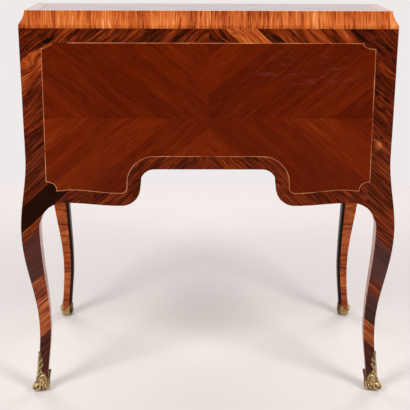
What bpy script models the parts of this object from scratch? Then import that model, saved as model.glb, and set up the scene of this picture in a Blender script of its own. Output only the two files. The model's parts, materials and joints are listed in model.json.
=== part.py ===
# Cylinder desk: four cabriole legs carry a shallow case with a kneehole, three frieze drawers and a
# pull-out writing slide. A quarter-round cylinder turns back on two iron arms over a nest of
# pigeonholes. The front faces -Y, the finished back faces +Y, and the floor is at z = 0.
import math

import bmesh
import bpy

# Overall sizes, in metres
HEIGHT = 1.000
CASE_WIDTH = 0.906
CASE_DEPTH = 0.520
CHEEK_RADIUS = 0.2215       # quarter-round of the side panels, round the cylinder's pivot

# Clearances
SEAT = 0.0003               # between fixed pieces that touch
DRAWER_FIT = 0.0010         # round a drawer front in its opening
DRAWER_RUN = 0.0015         # each side of a drawer tray
SLIDE_RUN = 0.0005          # under the writing slide
SLIDE_SIDE_RUN = 0.0015     # each side of the writing slide

# Cabriole legs: distances run in from the faces of the case
POST = 0.052
REAR_LEG_DROP = 0.010       # rear legs end this much lower than the front ones
SWELL_DROP = 0.055          # below the front leg's top the straight post starts to swell
KNEE_DROP = 0.074           # widest part of the knee, below the apron's end
KNEE_SWELL = 0.0174
ANKLE_HEIGHT = 0.178
ANKLE_TUCK = 0.0118
FOOT_TUCK = 0.0012
KNEE_BACK = 0.0286          # inner face below the bracket
SHIN_HEIGHT = 0.190
SHIN_BACK = 0.0407
FOOT_BACK = 0.0270
LEG_ARRIS = 0.0012
INNER_CHAMFER = 0.0070      # flat cut along the inner arris of a leg
BRACKET = 0.062             # radius that sweeps an apron down into a leg
FLUSH_RISE = 0.009          # above the apron's end the arrises beside the panels start to swell
SHIN_LEVELS = 18
BRACKET_LEVELS = 6
POST_LEVELS = 5

# Bronze sabots: a place on the rim is 0 at the outer arris, 1 at a side arris, 2 at the inner arris
SABOT_WALL = 0.0022
SABOT_FIT = 0.0004
SOLE = 0.0070
LEAF_HEIGHT = 0.118         # tip of the leaf on the outer arris
LEAF_SHOULDER = 0.099
LEAF_SHOULDER_PLACE = 0.16
LEAF_WIDTH = 0.22
LEAF_REACH = 0.0022
SHIELD_HEIGHT = 0.066       # cartouche on the two outer faces
SHIELD_START = 0.44
SHIELD_END = 0.62
CUFF_CORNER = 0.031         # rim at the side arrises
CUFF_HEIGHT = 0.026         # low rim on the two inner faces
CUFF_START = 1.35
SPUR_HEIGHT = 0.047         # curled leaf on the inner arris
SPUR_WIDTH = 0.22
SPUR_REACH = 0.0075
TOE_REACH = 0.0135
TOE_HEIGHT = 0.013
TOE_SPREAD = 0.019
TOE_WIDTH = 0.34
SABOT_FLATS = (6, 5, 2, 5, 6)   # steps along each flat of the foot, from the outer arris round
CHAMFER_PLACE = 1.75        # where the chamfer of the inner arris starts
SABOT_OUTER_ROWS = 8
SABOT_INNER_ROWS = 4

# Carcase boards
SIDE_THICKNESS = 0.020
BACK_THICKNESS = 0.018
APRON_THICKNESS = 0.020
PARTITION_THICKNESS = 0.014
PARTITION_INSIDE = 0.186    # half the width between the kneehole partitions
BED_THICKNESS = 0.0122
DRAWER_BOARD = 0.010
RUNNER_SIZE = 0.012

# Kneehole and aprons
KNEEHOLE_HALF = 0.170
KNEEHOLE_RAIL = 0.019       # wood between the kneehole and the centre drawer
KNEEHOLE_CORNER = 0.036
LOBE_DROP = 0.027           # lobe's lowest point below the side drawer
LOBE_RADIUS = 0.048
APRON_DROP = 0.019          # apron's lower edge, where the leg bracket starts, below the side drawer
SIDE_RISE = 0.020           # arch of the side aprons
SIDE_DRAWER_HEIGHT = 0.155
CENTRE_DRAWER_HEIGHT = 0.068

# Cornice and top
CORNICE_HEIGHT = 0.040
CORNICE_WIDTH = 0.045
CORNICE_FOOT_INSET = 0.0015
CORNICE_TOP_INSET = 0.0132
CORNICE_FOOT_FILLET = 0.007
CORNICE_TOP_FILLET = 0.004
COVE_HOLLOW = 0.0022
TOP_DEPTH = 0.231           # back of the case to the front of the top
TOP_THICKNESS = 0.020

# Cylinder: angles are degrees above the horizontal, seen from the pivot, towards the front
AXIS_RISE = 0.0035          # pivot above the writing slide
SHELL_THICKNESS = 0.016
SHELL_TOP_CLEARANCE = 0.001
SHELL_BACK_CLEARANCE = 0.0055
SHELL_SIDE_CLEARANCE = 0.0015
SHELL_FOOT_CLEARANCE = 0.001
SHELL_COVER = 0.012         # closed shell tucked under the front of the cornice
SHELL_STEPS = 32
ARM_CLEARANCE = 0.0025
ARM_THICKNESS = 0.006
ARM_WIDTH = 0.022
ARM_SEAT = 0.0005
ARM_FLANGE = 0.014
ARM_ANGLE = 50.0
ARM_SPREAD = 38.0
HUB_RADIUS = 0.013
PIN_RADIUS = 0.0050
PIN_PLAY = 0.0004
PIN_END = 0.001
PLATE_RADIUS = 0.015        # foot of the pin, fixed to the side panel
PLATE_THICKNESS = 0.0017
LOCK_LENGTH = 0.070
LOCK_HEIGHT = 0.030
LOCK_DEPTH = 0.012
LOCK_EDGE = 0.006

# Writing slide
SLIDE_THICKNESS = 0.022
SLIDE_LENGTH = 0.430
LIP = 0.022
LIP_SIDE_CLEARANCE = 0.0015
LEATHER_SIDE_MARGIN = 0.050
LEATHER_FRONT_MARGIN = 0.022
LEATHER_LENGTH = 0.300
LEATHER_THICKNESS = 0.0016
LEATHER_SUNK = 0.0001

# Nest of pigeonholes
NEST_LIFT = 0.0013          # guides stand this much above the slide and carry the nest
NEST_SIDE_GAP = 0.0020      # nest to the cylinder's arms
NEST_FRONT = 0.000
NEST_HEIGHT = 0.125
NEST_SWEEP = 0.0065         # nest inside the sweep of the shell
NEST_BOARD = 0.008
NEST_THIN = 0.006
NEST_BACK = 0.005
NEST_BAY = 0.130
NEST_DRAWER_BAY = 0.052
NEST_DRAWER_WALL = 0.005
NEST_DRAWER_FIT = 0.0008
NEST_DRAWER_STOP = 0.004

# Frieze drawers
FRONT_THICKNESS = 0.018
TRAY_WALL = 0.008
TRAY_DEPTH = 0.430
TRAY_DROP = 0.010           # tray's rim below the top of the front

# Knobs
KNOB_RADIUS = 0.0085
KNOB_LENGTH = 0.0165
KNOB_CROWN = 0.0056         # crown above the widest part
KNOB_NECK = 0.0036
KNOB_NECK_LOW = 0.0028
KNOB_NECK_HIGH = 0.0046
KNOB_FLANGE = 0.0081
KNOB_FLANGE_HEIGHT = 0.0018
KNOB_BALL_STEPS = 5
KNOB_BALL_SWEEP = 120.0      # degrees from the crown to the underside
KNOB_STEPS = 16
PIN_STEPS = 24
SMALL_KNOB_SHARE = 0.62     # knobs of the nest drawers beside the others
CYLINDER_KNOB_ANGLE = 8.0
PAIR_SPACING = 0.220        # half the distance between a pair of knobs

ARRIS = 0.0008              # worn edge of a board
ARC_STEPS = 7

# Places worked out from the sizes
half_width = CASE_WIDTH / 2
half_depth = CASE_DEPTH / 2
post_inner = half_width - POST
carcase_top = HEIGHT - CORNICE_HEIGHT
axis_z = carcase_top - CHEEK_RADIUS
writing_height = axis_z - AXIS_RISE
side_inner = half_width - SIDE_THICKNESS
back_inner = half_depth - BACK_THICKNESS
apron_back = -half_depth + APRON_THICKNESS
top_front = half_depth - TOP_DEPTH
slide_low = writing_height - SLIDE_THICKNESS
bed_top = slide_low - SLIDE_RUN
leg_top = bed_top - BED_THICKNESS - SEAT
rear_leg_top = leg_top - REAR_LEG_DROP
swell_start = leg_top - SWELL_DROP
side_drawer_low = leg_top - SIDE_DRAWER_HEIGHT
centre_drawer_low = leg_top - CENTRE_DRAWER_HEIGHT
kneehole_height = centre_drawer_low - KNEEHOLE_RAIL
lobe_low = side_drawer_low - LOBE_DROP
apron_end = side_drawer_low - APRON_DROP
knee_height = apron_end - KNEE_DROP
guide_top = writing_height + NEST_LIFT
partition_outside = PARTITION_INSIDE + PARTITION_THICKNESS
bracket_in = KNEE_BACK + BRACKET
bracket_low = apron_end - BRACKET
shell_radius = CHEEK_RADIUS - SHELL_TOP_CLEARANCE
shell_inner = shell_radius - SHELL_THICKNESS
axis_y = back_inner - SHELL_BACK_CLEARANCE - shell_radius
shell_low = math.degrees(math.asin((guide_top + SHELL_FOOT_CLEARANCE - axis_z) / shell_inner))
shell_high = 90 + math.degrees(math.asin((top_front + SHELL_COVER - axis_y) / shell_radius))
arm_outer = side_inner - ARM_CLEARANCE
arm_inner = arm_outer - ARM_THICKNESS
nest_half = arm_inner - NEST_SIDE_GAP
slide_half = post_inner - 2 * SLIDE_SIDE_RUN
guide_inner = slide_half + SLIDE_SIDE_RUN


def clear_scene():
    for item in list(bpy.data.objects):
        bpy.data.objects.remove(item, do_unlink=True)


def new_collection(name):
    group = bpy.data.collections.new(name)
    bpy.context.scene.collection.children.link(group)
    return group


def finish_material(name, colour, roughness, metallic=0.0):
    material = bpy.data.materials.new(name)
    material.use_nodes = True
    shader = material.node_tree.nodes["Principled BSDF"]
    shader.inputs["Base Color"].default_value = (*colour, 1.0)
    shader.inputs["Roughness"].default_value = roughness
    shader.inputs["Metallic"].default_value = metallic
    return material


clear_scene()
desk = new_collection("cylinder_desk")
cutters = new_collection("cylinder_desk_cutters")
rosewood = finish_material("rosewood", (0.115, 0.030, 0.012), 0.30)
tulipwood = finish_material("tulipwood", (0.600, 0.140, 0.030), 0.32)
oak = finish_material("oak", (0.360, 0.210, 0.095), 0.60)
bronze = finish_material("gilt_bronze", (0.420, 0.270, 0.120), 0.38, 1.0)
iron = finish_material("iron", (0.090, 0.085, 0.080), 0.55, 1.0)
brass = finish_material("brass", (0.560, 0.400, 0.150), 0.35, 1.0)
hide = finish_material("leather", (0.060, 0.085, 0.040), 0.50)


def place(name, data, material, group=desk):
    item = bpy.data.objects.new(name, data)
    group.objects.link(item)
    data.materials.append(material)
    return item


def mesh_from(bm, name, smooth=False):
    bm.normal_update()
    bmesh.ops.recalc_face_normals(bm, faces=bm.faces)
    mesh = bpy.data.meshes.new(name)
    bm.to_mesh(mesh)
    bm.free()
    if smooth:
        mesh.shade_smooth()
        mesh.set_sharp_from_angle(angle=math.radians(35))
    return mesh


def box_mesh(name, low, high):
    bm = bmesh.new()
    bmesh.ops.create_cube(bm, size=1.0)
    for vert in bm.verts:
        vert.co = [lo + (c + 0.5) * (hi - lo) for c, lo, hi in zip(vert.co, low, high)]
    return mesh_from(bm, name)


def round_arrises(item, width=ARRIS):
    bevel = item.modifiers.new("arris", "BEVEL")
    bevel.width = width
    bevel.segments = 1
    bevel.limit_method = "ANGLE"
    bevel.angle_limit = math.radians(60)


def board(name, low, high, material, arris=ARRIS):
    item = place(name, box_mesh(name, low, high), material)
    round_arrises(item, arris)
    return item


def cutter_box(name, low, high):
    item = place(name, box_mesh(name, low, high), oak, cutters)
    item.hide_render = True
    item.display_type = "WIRE"
    return item


def boolean(item, tool, operation):
    cut = item.modifiers.new(operation.lower(), "BOOLEAN")
    cut.object = tool
    cut.operation = operation
    cut.solver = "EXACT"


def arc(centre, radius, start, end, steps=ARC_STEPS):
    turns = [math.radians(start + (end - start) * i / steps) for i in range(steps + 1)]
    return [(centre[0] + radius * math.cos(a), centre[1] + radius * math.sin(a)) for a in turns]


def swing(radius, start, end, steps):
    # Points on a circle about the cylinder's pivot, angles measured up from the front
    return [(-y, z) for y, z in arc((0.0, 0.0), radius, start, end, steps)]


def sawn(name, outlines, thickness, material, plane, location):
    # A board sawn to an outline: plane "XZ" lies across the desk, "YZ" lies front to back
    curve = bpy.data.curves.new(name, "CURVE")
    curve.dimensions = "2D"
    curve.fill_mode = "BOTH"
    curve.extrude = thickness / 2
    for outline in outlines:
        spline = curve.splines.new("POLY")
        spline.points.add(len(outline) - 1)
        for point, (u, v) in zip(spline.points, outline):
            point.co = (u, v, 0.0, 1.0)
        spline.use_cyclic_u = True
    item = place(name, curve, material)
    item.rotation_euler = (math.pi / 2, 0.0, math.pi / 2 if plane == "YZ" else 0.0)
    item.location = location
    return item


def as_mesh(item):
    # The same sawn length as a welded mesh, ready to be mitred
    bpy.context.view_layer.update()
    seen = item.evaluated_get(bpy.context.evaluated_depsgraph_get())
    bm = bmesh.new()
    bm.from_mesh(bpy.data.meshes.new_from_object(seen))
    bmesh.ops.remove_doubles(bm, verts=bm.verts, dist=1e-6)
    name, matrix, material = item.name, item.matrix_world.copy(), item.data.materials[0]
    bpy.data.objects.remove(item, do_unlink=True)
    copy = place(name, mesh_from(bm, name), material)
    copy.matrix_world = matrix
    return copy


def carrier(name, location):
    empty = bpy.data.objects.new(name, None)
    empty.location = location
    empty.empty_display_size = 0.05
    desk.objects.link(empty)
    return empty


def carry(empty, *pieces):
    for piece in pieces:
        piece.parent = empty
        piece.location = piece.location - empty.location


def eased(knots, height):
    # Smooth S-curves through knots that run from high to low
    for (z1, d1), (z0, d0) in zip(knots, knots[1:]):
        if height >= z0:
            share = min(1.0, max(0.0, (z1 - height) / (z1 - z0)))
            return d1 + (d0 - d1) * (1 - math.cos(math.pi * share)) / 2
    return knots[-1][1]


def leg_outer(height):
    # Outward from the face of the case
    return eased([(swell_start, 0.0), (knee_height, KNEE_SWELL), (ANKLE_HEIGHT, -ANKLE_TUCK),
                  (0.0, -FOOT_TUCK)], height)


def bracket_join():
    # Height where the bracket's sweep crosses the inner face of the post
    return bracket_low + math.sqrt(BRACKET ** 2 - (bracket_in - POST) ** 2)


def leg_inner(height):
    if height >= bracket_join():
        return -POST
    if height >= bracket_low:
        return -bracket_in + math.sqrt(BRACKET ** 2 - (height - bracket_low) ** 2)
    return eased([(bracket_low, -KNEE_BACK), (SHIN_HEIGHT, -SHIN_BACK), (0.0, -FOOT_BACK)], height)


def leg_flush(height):
    # Outward at the arrises beside a panel: flush with it, then out to the square at the knee
    share = eased([(apron_end + FLUSH_RISE, 0.0), (knee_height, 1.0)], height)
    return share * leg_outer(height)


def spread(low, high, count):
    return [low + (high - low) * i / count for i in range(count)]


def leg(name, side, end, top):
    # Sawn from two faces, so every level is about square, with its inner arris cut off; side and end are +1 or -1
    levels = spread(SOLE + SABOT_FIT, bracket_low, SHIN_LEVELS)
    levels += spread(bracket_low, bracket_join(), BRACKET_LEVELS)
    levels += spread(bracket_join(), swell_start, POST_LEVELS) + [swell_start, top]
    bm = bmesh.new()
    bmesh.ops.create_cube(bm, size=1.0)
    inner = [e for e in bm.edges if all(v.co.x < 0 and v.co.y < 0 for v in e.verts)]
    bmesh.ops.bevel(bm, geom=inner, offset=0.25, segments=1, affect="EDGES")
    upright = [e for e in bm.edges if abs(e.verts[0].co.z - e.verts[1].co.z) > 0.5]
    bmesh.ops.subdivide_edges(bm, edges=upright, cuts=len(levels) - 2, use_grid_fill=True)
    for vert in bm.verts:
        height = levels[round((vert.co.z + 0.5) * (len(levels) - 1))]
        outside = (vert.co.x > 0, vert.co.y > 0)
        face = leg_outer(height) if all(outside) else leg_flush(height)
        reach = [face if out else leg_inner(height) for out in outside]
        if not any(outside):
            reach = [d + INNER_CHAMFER if c > -0.4 else d for d, c in zip(reach, vert.co)]
        vert.co = (side * (half_width + reach[0]), end * (half_depth + reach[1]), height)
    item = place(name, mesh_from(bm, name), rosewood)
    round_arrises(item, LEG_ARRIS)
    return item


def sabot_rim(walk):
    # Height of the leafy rim at a place on the way round
    knots = [(0.0, LEAF_HEIGHT), (LEAF_SHOULDER_PLACE, LEAF_SHOULDER), (SHIELD_START, SHIELD_HEIGHT),
             (SHIELD_END, SHIELD_HEIGHT), (1.0, CUFF_CORNER), (CUFF_START, CUFF_HEIGHT), (2.0, SPUR_HEIGHT)]
    for (w0, h0), (w1, h1) in zip(knots, knots[1:]):
        if walk <= w1:
            return h0 + (h1 - h0) * (walk - w0) / (w1 - w0)
    return knots[-1][1]


def sabot_proud(walk, height, rim):
    # How far the bronze stands off the wood: toe, leaf and curled spur on top of the wall
    toe = math.exp(-(walk / TOE_WIDTH) ** 2 - ((height - TOE_HEIGHT) / TOE_SPREAD) ** 2)
    leaf = math.exp(-(walk / LEAF_WIDTH) ** 2) * (height / LEAF_HEIGHT)
    spur = math.exp(-((2.0 - walk) / SPUR_WIDTH) ** 2) * (height / rim) ** 3
    return SABOT_WALL + TOE_REACH * toe + LEAF_REACH * leaf + SPUR_REACH * spur


def foot_walk(step):
    # Which flat of the foot a step round it is on, how far along that flat, and its place on the rim
    places = [0.0, 1.0, CHAMFER_PLACE, 4.0 - CHAMFER_PLACE, 3.0, 4.0]
    for flat, count in enumerate(SABOT_FLATS):
        if step <= count:
            walk = places[flat] + (places[flat + 1] - places[flat]) * step / count
            return flat, step / count, min(walk, 4.0 - walk)
        step -= count


def foot_point(flat, along, half, proud):
    # A point on the foot's five flats, standing proud of the wood
    reach = half + proud
    cut = INNER_CHAMFER + proud * (2 - math.sqrt(2)) - reach
    corners = [(reach, reach), (-reach, reach), (-reach, cut), (cut, -reach), (reach, -reach), (reach, reach)]
    (x0, y0), (x1, y1) = corners[flat], corners[flat + 1]
    return x0 + (x1 - x0) * along, y0 + (y1 - y0) * along


def sabot(name, side, end):
    # A cast shoe: sole, outer wall up to the leafy rim, inner wall down to the floor of its socket
    rows = SABOT_OUTER_ROWS + SABOT_INNER_ROWS + 3
    around = sum(SABOT_FLATS)
    bm = bmesh.new()
    bmesh.ops.create_grid(bm, x_segments=around, y_segments=rows, size=1.0)
    for vert in bm.verts:
        row = round((vert.co.y + 1) / 2 * rows)
        flat, along, walk = foot_walk(round((vert.co.x + 1) / 2 * around))
        rim = sabot_rim(walk)
        if row <= 1 + SABOT_OUTER_ROWS:
            height = rim * max(0, row - 1) / SABOT_OUTER_ROWS
            proud = sabot_proud(walk, height, rim)
        else:
            share = min(1.0, (row - 2 - SABOT_OUTER_ROWS) / SABOT_INNER_ROWS)
            height = rim + (SOLE - rim) * share
            proud = SABOT_FIT
        wood = max(height, SOLE)
        middle = (leg_outer(wood) + leg_inner(wood)) / 2
        x, y = foot_point(flat, along, (leg_outer(wood) - leg_inner(wood)) / 2, proud)
        if row in (0, rows):
            x, y = 0.0, 0.0
        vert.co = (side * (half_width + middle + x), end * (half_depth + middle + y), height)
    bmesh.ops.remove_doubles(bm, verts=bm.verts, dist=1e-6)
    return place(name, mesh_from(bm, name, smooth=True), bronze)


def bracket_edge():
    # The sweep from the apron's lower edge to the post: (distance in from the case, height)
    stop = math.degrees(math.acos((bracket_in - POST - SEAT) / BRACKET))
    return [(bracket_in - u, v) for u, v in arc((0.0, bracket_low), BRACKET, 90, stop)]


def apron_edge():
    # One half of the kneehole apron's lower edge, from the middle out to the leg
    corner = (KNEEHOLE_HALF - KNEEHOLE_CORNER, kneehole_height - KNEEHOLE_CORNER)
    lobe = (KNEEHOLE_HALF + LOBE_RADIUS, lobe_low + LOBE_RADIUS)
    start, stop = lobe[0], half_width - bracket_in
    rise = [(start + (stop - start) * i / ARC_STEPS,
             lobe_low + (apron_end - lobe_low) * (1 - math.cos(math.pi * i / ARC_STEPS)) / 2)
            for i in range(1, ARC_STEPS)]
    sweep = [(half_width - d, z) for d, z in bracket_edge()]
    return arc(corner, KNEEHOLE_CORNER, 90, 0) + arc(lobe, LOBE_RADIUS, 180, 270) + rise + sweep


def both_halves(half):
    return [(-x, z) for x, z in reversed(half)] + half


def back_panel():
    half = apron_edge() + [(post_inner - SEAT, rear_leg_top + SEAT), (half_width, rear_leg_top + SEAT),
                           (half_width, carcase_top)]
    return sawn("back_panel", [both_halves(half)], BACK_THICKNESS, rosewood, "XZ",
                (0.0, half_depth - BACK_THICKNESS / 2, 0.0))


def front_apron():
    half = apron_edge() + [(post_inner - SEAT, side_drawer_low), (partition_outside, side_drawer_low),
                           (partition_outside, centre_drawer_low)]
    return sawn("front_apron", [both_halves(half)], APRON_THICKNESS, rosewood, "XZ",
                (0.0, -half_depth + APRON_THICKNESS / 2, 0.0))


def side_outline():
    span = half_depth - bracket_in
    sweep = [(half_depth - d, z) for d, z in bracket_edge()]
    arch = [(span * t, apron_end + SIDE_RISE * math.cos(math.pi / 2 * t) ** 2)
            for t in [i / ARC_STEPS for i in range(-ARC_STEPS + 1, ARC_STEPS)]]
    lower = [(-y, z) for y, z in reversed(sweep)] + arch + sweep
    rear = [(half_depth - POST - SEAT, rear_leg_top + SEAT), (back_inner - SEAT, rear_leg_top + SEAT),
            (back_inner - SEAT, carcase_top)]
    cheek = [(axis_y + y, axis_z + z) for y, z in swing(CHEEK_RADIUS, 90, 0, SHELL_STEPS)]
    front = [(axis_y - CHEEK_RADIUS, writing_height), (-half_depth, writing_height),
             (-half_depth, leg_top + SEAT), (-half_depth + POST + SEAT, leg_top + SEAT)]
    return lower + rear + cheek + front


def turned(name, profile, material, group, steps):
    # A profile of (radius, height) points, from its crown down, turned about its own Z
    mesh = bpy.data.meshes.new(name)
    mesh.from_pydata([(r, 0.0, z) for r, z in profile], [(i, i + 1) for i in range(len(profile) - 1)], [])
    item = place(name, mesh, material, group)
    turn = item.modifiers.new("turned", "SCREW")
    turn.steps = steps
    turn.render_steps = steps
    turn.use_merge_vertices = True
    turn.merge_threshold = 0.00005
    turn.use_smooth_shade = True
    return item


def pivot_pin(name, side):
    # A stud on a round plate, fixed to the inner face of the side panel
    seat = side_inner - SEAT
    length = seat - arm_inner + PIN_END
    profile = [(0.0, length), (PIN_RADIUS, length), (PIN_RADIUS, PLATE_THICKNESS),
               (PLATE_RADIUS, PLATE_THICKNESS), (PLATE_RADIUS, 0.0), (0.0, 0.0)]
    item = turned(name, profile, iron, desk, PIN_STEPS)
    item.rotation_euler = (0.0, -side * math.pi / 2, 0.0)
    item.location = (side * seat, axis_y, axis_z)
    return item


def side_panel(name, side):
    return sawn(name, [side_outline()], SIDE_THICKNESS, rosewood, "YZ",
                (side * (half_width - SIDE_THICKNESS / 2), 0.0, 0.0))


def cornice_section():
    # (distance in from the case, height above the carcase), foot fillet, hollow cove, top fillet
    low, high = CORNICE_FOOT_FILLET, CORNICE_HEIGHT - CORNICE_TOP_FILLET
    cove = []
    for i in range(ARC_STEPS + 1):
        t = i / ARC_STEPS
        inset = CORNICE_FOOT_INSET + (CORNICE_TOP_INSET - CORNICE_FOOT_INSET) * t
        cove.append((inset + COVE_HOLLOW * math.sin(math.pi * t), low + (high - low) * t))
    return ([(CORNICE_FOOT_INSET, SEAT)] + cove
            + [(CORNICE_TOP_INSET, CORNICE_HEIGHT), (CORNICE_WIDTH, CORNICE_HEIGHT), (CORNICE_WIDTH, SEAT)])


def cornice(name, length, location, turn):
    # One length of moulding, mitred at both ends; it runs along its own X with the cove towards +Y
    section = [(-inset, z) for inset, z in cornice_section()]
    item = as_mesh(sawn(name, [section], length, tulipwood, "YZ", (0.0, 0.0, 0.0)))
    item.data.transform(item.matrix_world)
    item.matrix_world.identity()
    for vert in item.data.vertices:
        reach = length / 2 + vert.co.y - SEAT / 2
        vert.co.x = math.copysign(reach, vert.co.x)
    item.rotation_euler = (0.0, 0.0, turn)
    item.location = location
    return item


def build_cornice():
    middle = (top_front + half_depth) / 2
    cornice("back_cornice", CASE_WIDTH, (0.0, half_depth, carcase_top), 0.0)
    cornice("front_cornice", CASE_WIDTH, (0.0, top_front, carcase_top), math.pi)
    cornice("left_cornice", TOP_DEPTH, (-half_width, middle, carcase_top), math.pi / 2)
    cornice("right_cornice", TOP_DEPTH, (half_width, middle, carcase_top), -math.pi / 2)
    inset = CORNICE_WIDTH + SEAT
    board("top_panel", (-half_width + inset, top_front + inset, HEIGHT - TOP_THICKNESS),
          (half_width - inset, half_depth - inset, HEIGHT), tulipwood)


def partition(name, side):
    # Stands on the apron at the front and reaches down behind it to the side drawer's board
    low, step = side_drawer_low - DRAWER_BOARD, centre_drawer_low + SEAT
    front, rear = apron_back + SEAT, back_inner - SEAT
    outline = [(front, low), (rear, low), (rear, leg_top), (-half_depth, leg_top), (-half_depth, step),
               (front, step)]
    sawn(name, [outline], PARTITION_THICKNESS, rosewood, "YZ",
         (side * (PARTITION_INSIDE + PARTITION_THICKNESS / 2), 0.0, 0.0))


def mirrored_board(name, side, low, high, material):
    # A board given on the right-hand side, built on either side
    xs = sorted((side * low[0], side * high[0]))
    return board(name, (xs[0], *low[1:]), (xs[1], *high[1:]), material)


def build_case():
    for end, end_name, top in ((1, "rear", rear_leg_top), (-1, "front", leg_top)):
        for side, side_name in ((-1, "left"), (1, "right")):
            leg(f"{end_name}_{side_name}_leg", side, end, top)
            sabot(f"{end_name}_{side_name}_sabot", side, end)
    back_panel()
    front_apron()
    board("bed_board", (-side_inner + SEAT, -half_depth, leg_top + SEAT),
          (side_inner - SEAT, back_inner - SEAT, bed_top), oak)
    front, rear = apron_back + SEAT, back_inner - SEAT
    for side, name in ((-1, "left"), (1, "right")):
        side_panel(f"{name}_side_panel", side)
        partition(f"{name}_partition", side)
        mirrored_board(f"{name}_drawer_board", side,
                       (partition_outside + SEAT, front, side_drawer_low - DRAWER_BOARD),
                       (post_inner - SEAT, rear, side_drawer_low), oak)
        mirrored_board(f"{name}_centre_runner", side,
                       (PARTITION_INSIDE - SEAT - RUNNER_SIZE, front, centre_drawer_low - RUNNER_SIZE),
                       (PARTITION_INSIDE - SEAT, rear, centre_drawer_low), oak)
        mirrored_board(f"{name}_slide_guide", side,
                       (guide_inner, -half_depth + LIP + SEAT, bed_top + SEAT),
                       (nest_half, rear, guide_top), oak)
        pivot_pin(f"{name}_pivot_pin", side)


def knob_profile(scale):
    # Flange, neck and flattened ball, from the crown down to the seat
    middle = KNOB_LENGTH - KNOB_CROWN
    ball = [(0.0, KNOB_LENGTH)]
    for i in range(1, KNOB_BALL_STEPS + 1):
        drop = math.radians(KNOB_BALL_SWEEP * i / KNOB_BALL_STEPS)
        ball.append((KNOB_RADIUS * math.sin(drop), middle + KNOB_CROWN * math.cos(drop)))
    foot = [(KNOB_NECK, KNOB_NECK_HIGH), (KNOB_NECK, KNOB_NECK_LOW), (KNOB_FLANGE, KNOB_FLANGE_HEIGHT),
            (KNOB_FLANGE, 0.0), (0.0, 0.0)]
    return [(scale * radius, scale * height) for radius, height in ball + foot]


def knob(name, location, tilt, scale=1.0, group=desk):
    # A turned knob whose own Z points away from its seat; tilt turns it about X
    item = turned(name, knob_profile(scale), bronze, group, KNOB_STEPS)
    item.rotation_euler = (tilt, 0.0, 0.0)
    item.location = location
    return item


def cylinder_shell():
    outline = swing(shell_radius, shell_low, shell_high, SHELL_STEPS)
    outline += reversed(swing(shell_inner, shell_low, shell_high, SHELL_STEPS))
    return sawn("cylinder_shell", [outline], 2 * (side_inner - SHELL_SIDE_CLEARANCE), rosewood, "YZ",
                (0.0, axis_y, axis_z))


def cylinder_arm(name, side):
    # Hub on the pin, one straight bar, and a curved flange that lies along the inside of the shell
    outer = shell_inner - ARM_SEAT
    inner = outer - ARM_FLANGE
    first, last = ARM_ANGLE - ARM_SPREAD, ARM_ANGLE + ARM_SPREAD
    bar = math.degrees(math.asin(ARM_WIDTH / 2 / inner))
    hub = math.degrees(math.asin(ARM_WIDTH / 2 / HUB_RADIUS))
    outline = swing(outer, first, last, 3 * ARC_STEPS)
    outline += swing(inner, last, ARM_ANGLE + bar, ARC_STEPS)
    outline += swing(HUB_RADIUS, ARM_ANGLE + hub, ARM_ANGLE + 360 - hub, 2 * ARC_STEPS)
    outline += swing(inner, ARM_ANGLE - bar, first, ARC_STEPS)
    eye = swing(PIN_RADIUS + PIN_PLAY, 0, 360 - 360 / PIN_STEPS, PIN_STEPS - 1)
    return sawn(name, [outline, eye], ARM_THICKNESS, iron, "YZ",
                (side * (arm_inner + ARM_THICKNESS / 2), axis_y, axis_z))


def cylinder_lock():
    # Lock case inside the shell at the middle of its lower edge
    facet = math.radians((shell_high - shell_low) / SHELL_STEPS / 2)
    face = math.sqrt((shell_inner * math.cos(facet) - SEAT) ** 2 - (LOCK_HEIGHT / 2) ** 2)
    angle = math.radians(shell_low) + (LOCK_EDGE + LOCK_HEIGHT / 2) / shell_inner
    item = board("cylinder_lock", (-LOCK_LENGTH / 2, -face, -LOCK_HEIGHT / 2),
                 (LOCK_LENGTH / 2, -face + LOCK_DEPTH, LOCK_HEIGHT / 2), brass)
    item.rotation_euler = (-angle, 0.0, 0.0)
    item.location = (0.0, axis_y, axis_z)
    return item


def build_cylinder():
    pivot = carrier("cylinder_pivot", (0.0, axis_y, axis_z))
    carry(pivot, cylinder_shell(), cylinder_lock())
    angle = math.radians(CYLINDER_KNOB_ANGLE)
    seat = shell_radius + SEAT
    for side, name in ((-1, "left"), (1, "right")):
        carry(pivot, cylinder_arm(f"{name}_cylinder_arm", side))
        place_at = (side * PAIR_SPACING, axis_y - seat * math.cos(angle), axis_z + seat * math.sin(angle))
        carry(pivot, knob(f"{name}_cylinder_knob", place_at, math.pi / 2 - angle))


def build_slide():
    slide = carrier("writing_slide_run", (0.0, -half_depth, writing_height))
    front = -half_depth + LIP
    panel = board("writing_slide", (-slide_half, front + SEAT, slide_low),
                  (slide_half, front + SEAT + SLIDE_LENGTH, writing_height), rosewood)
    depth = LEATHER_THICKNESS + SEAT + LEATHER_SUNK
    x, y = slide_half - LEATHER_SIDE_MARGIN, front + LEATHER_FRONT_MARGIN
    recess = cutter_box("leather_recess", (-x, y, writing_height - depth),
                        (x, y + LEATHER_LENGTH, writing_height + depth))
    boolean(panel, recess, "DIFFERENCE")
    leather = board("writing_leather", (-x + SEAT, y + SEAT, writing_height - depth + SEAT),
                    (x - SEAT, y + LEATHER_LENGTH - SEAT, writing_height - LEATHER_SUNK), hide, SEAT)
    reach = side_inner - LIP_SIDE_CLEARANCE
    lipping = board("slide_lipping", (-reach, -half_depth, slide_low),
                    (reach, front, writing_height), rosewood)
    carry(slide, panel, leather, lipping)
    for side, name in ((-1, "left"), (1, "right")):
        seat = (side * PAIR_SPACING, -half_depth - SEAT, writing_height - SLIDE_THICKNESS / 2)
        carry(slide, knob(f"{name}_slide_knob", seat, math.pi / 2))


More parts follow.
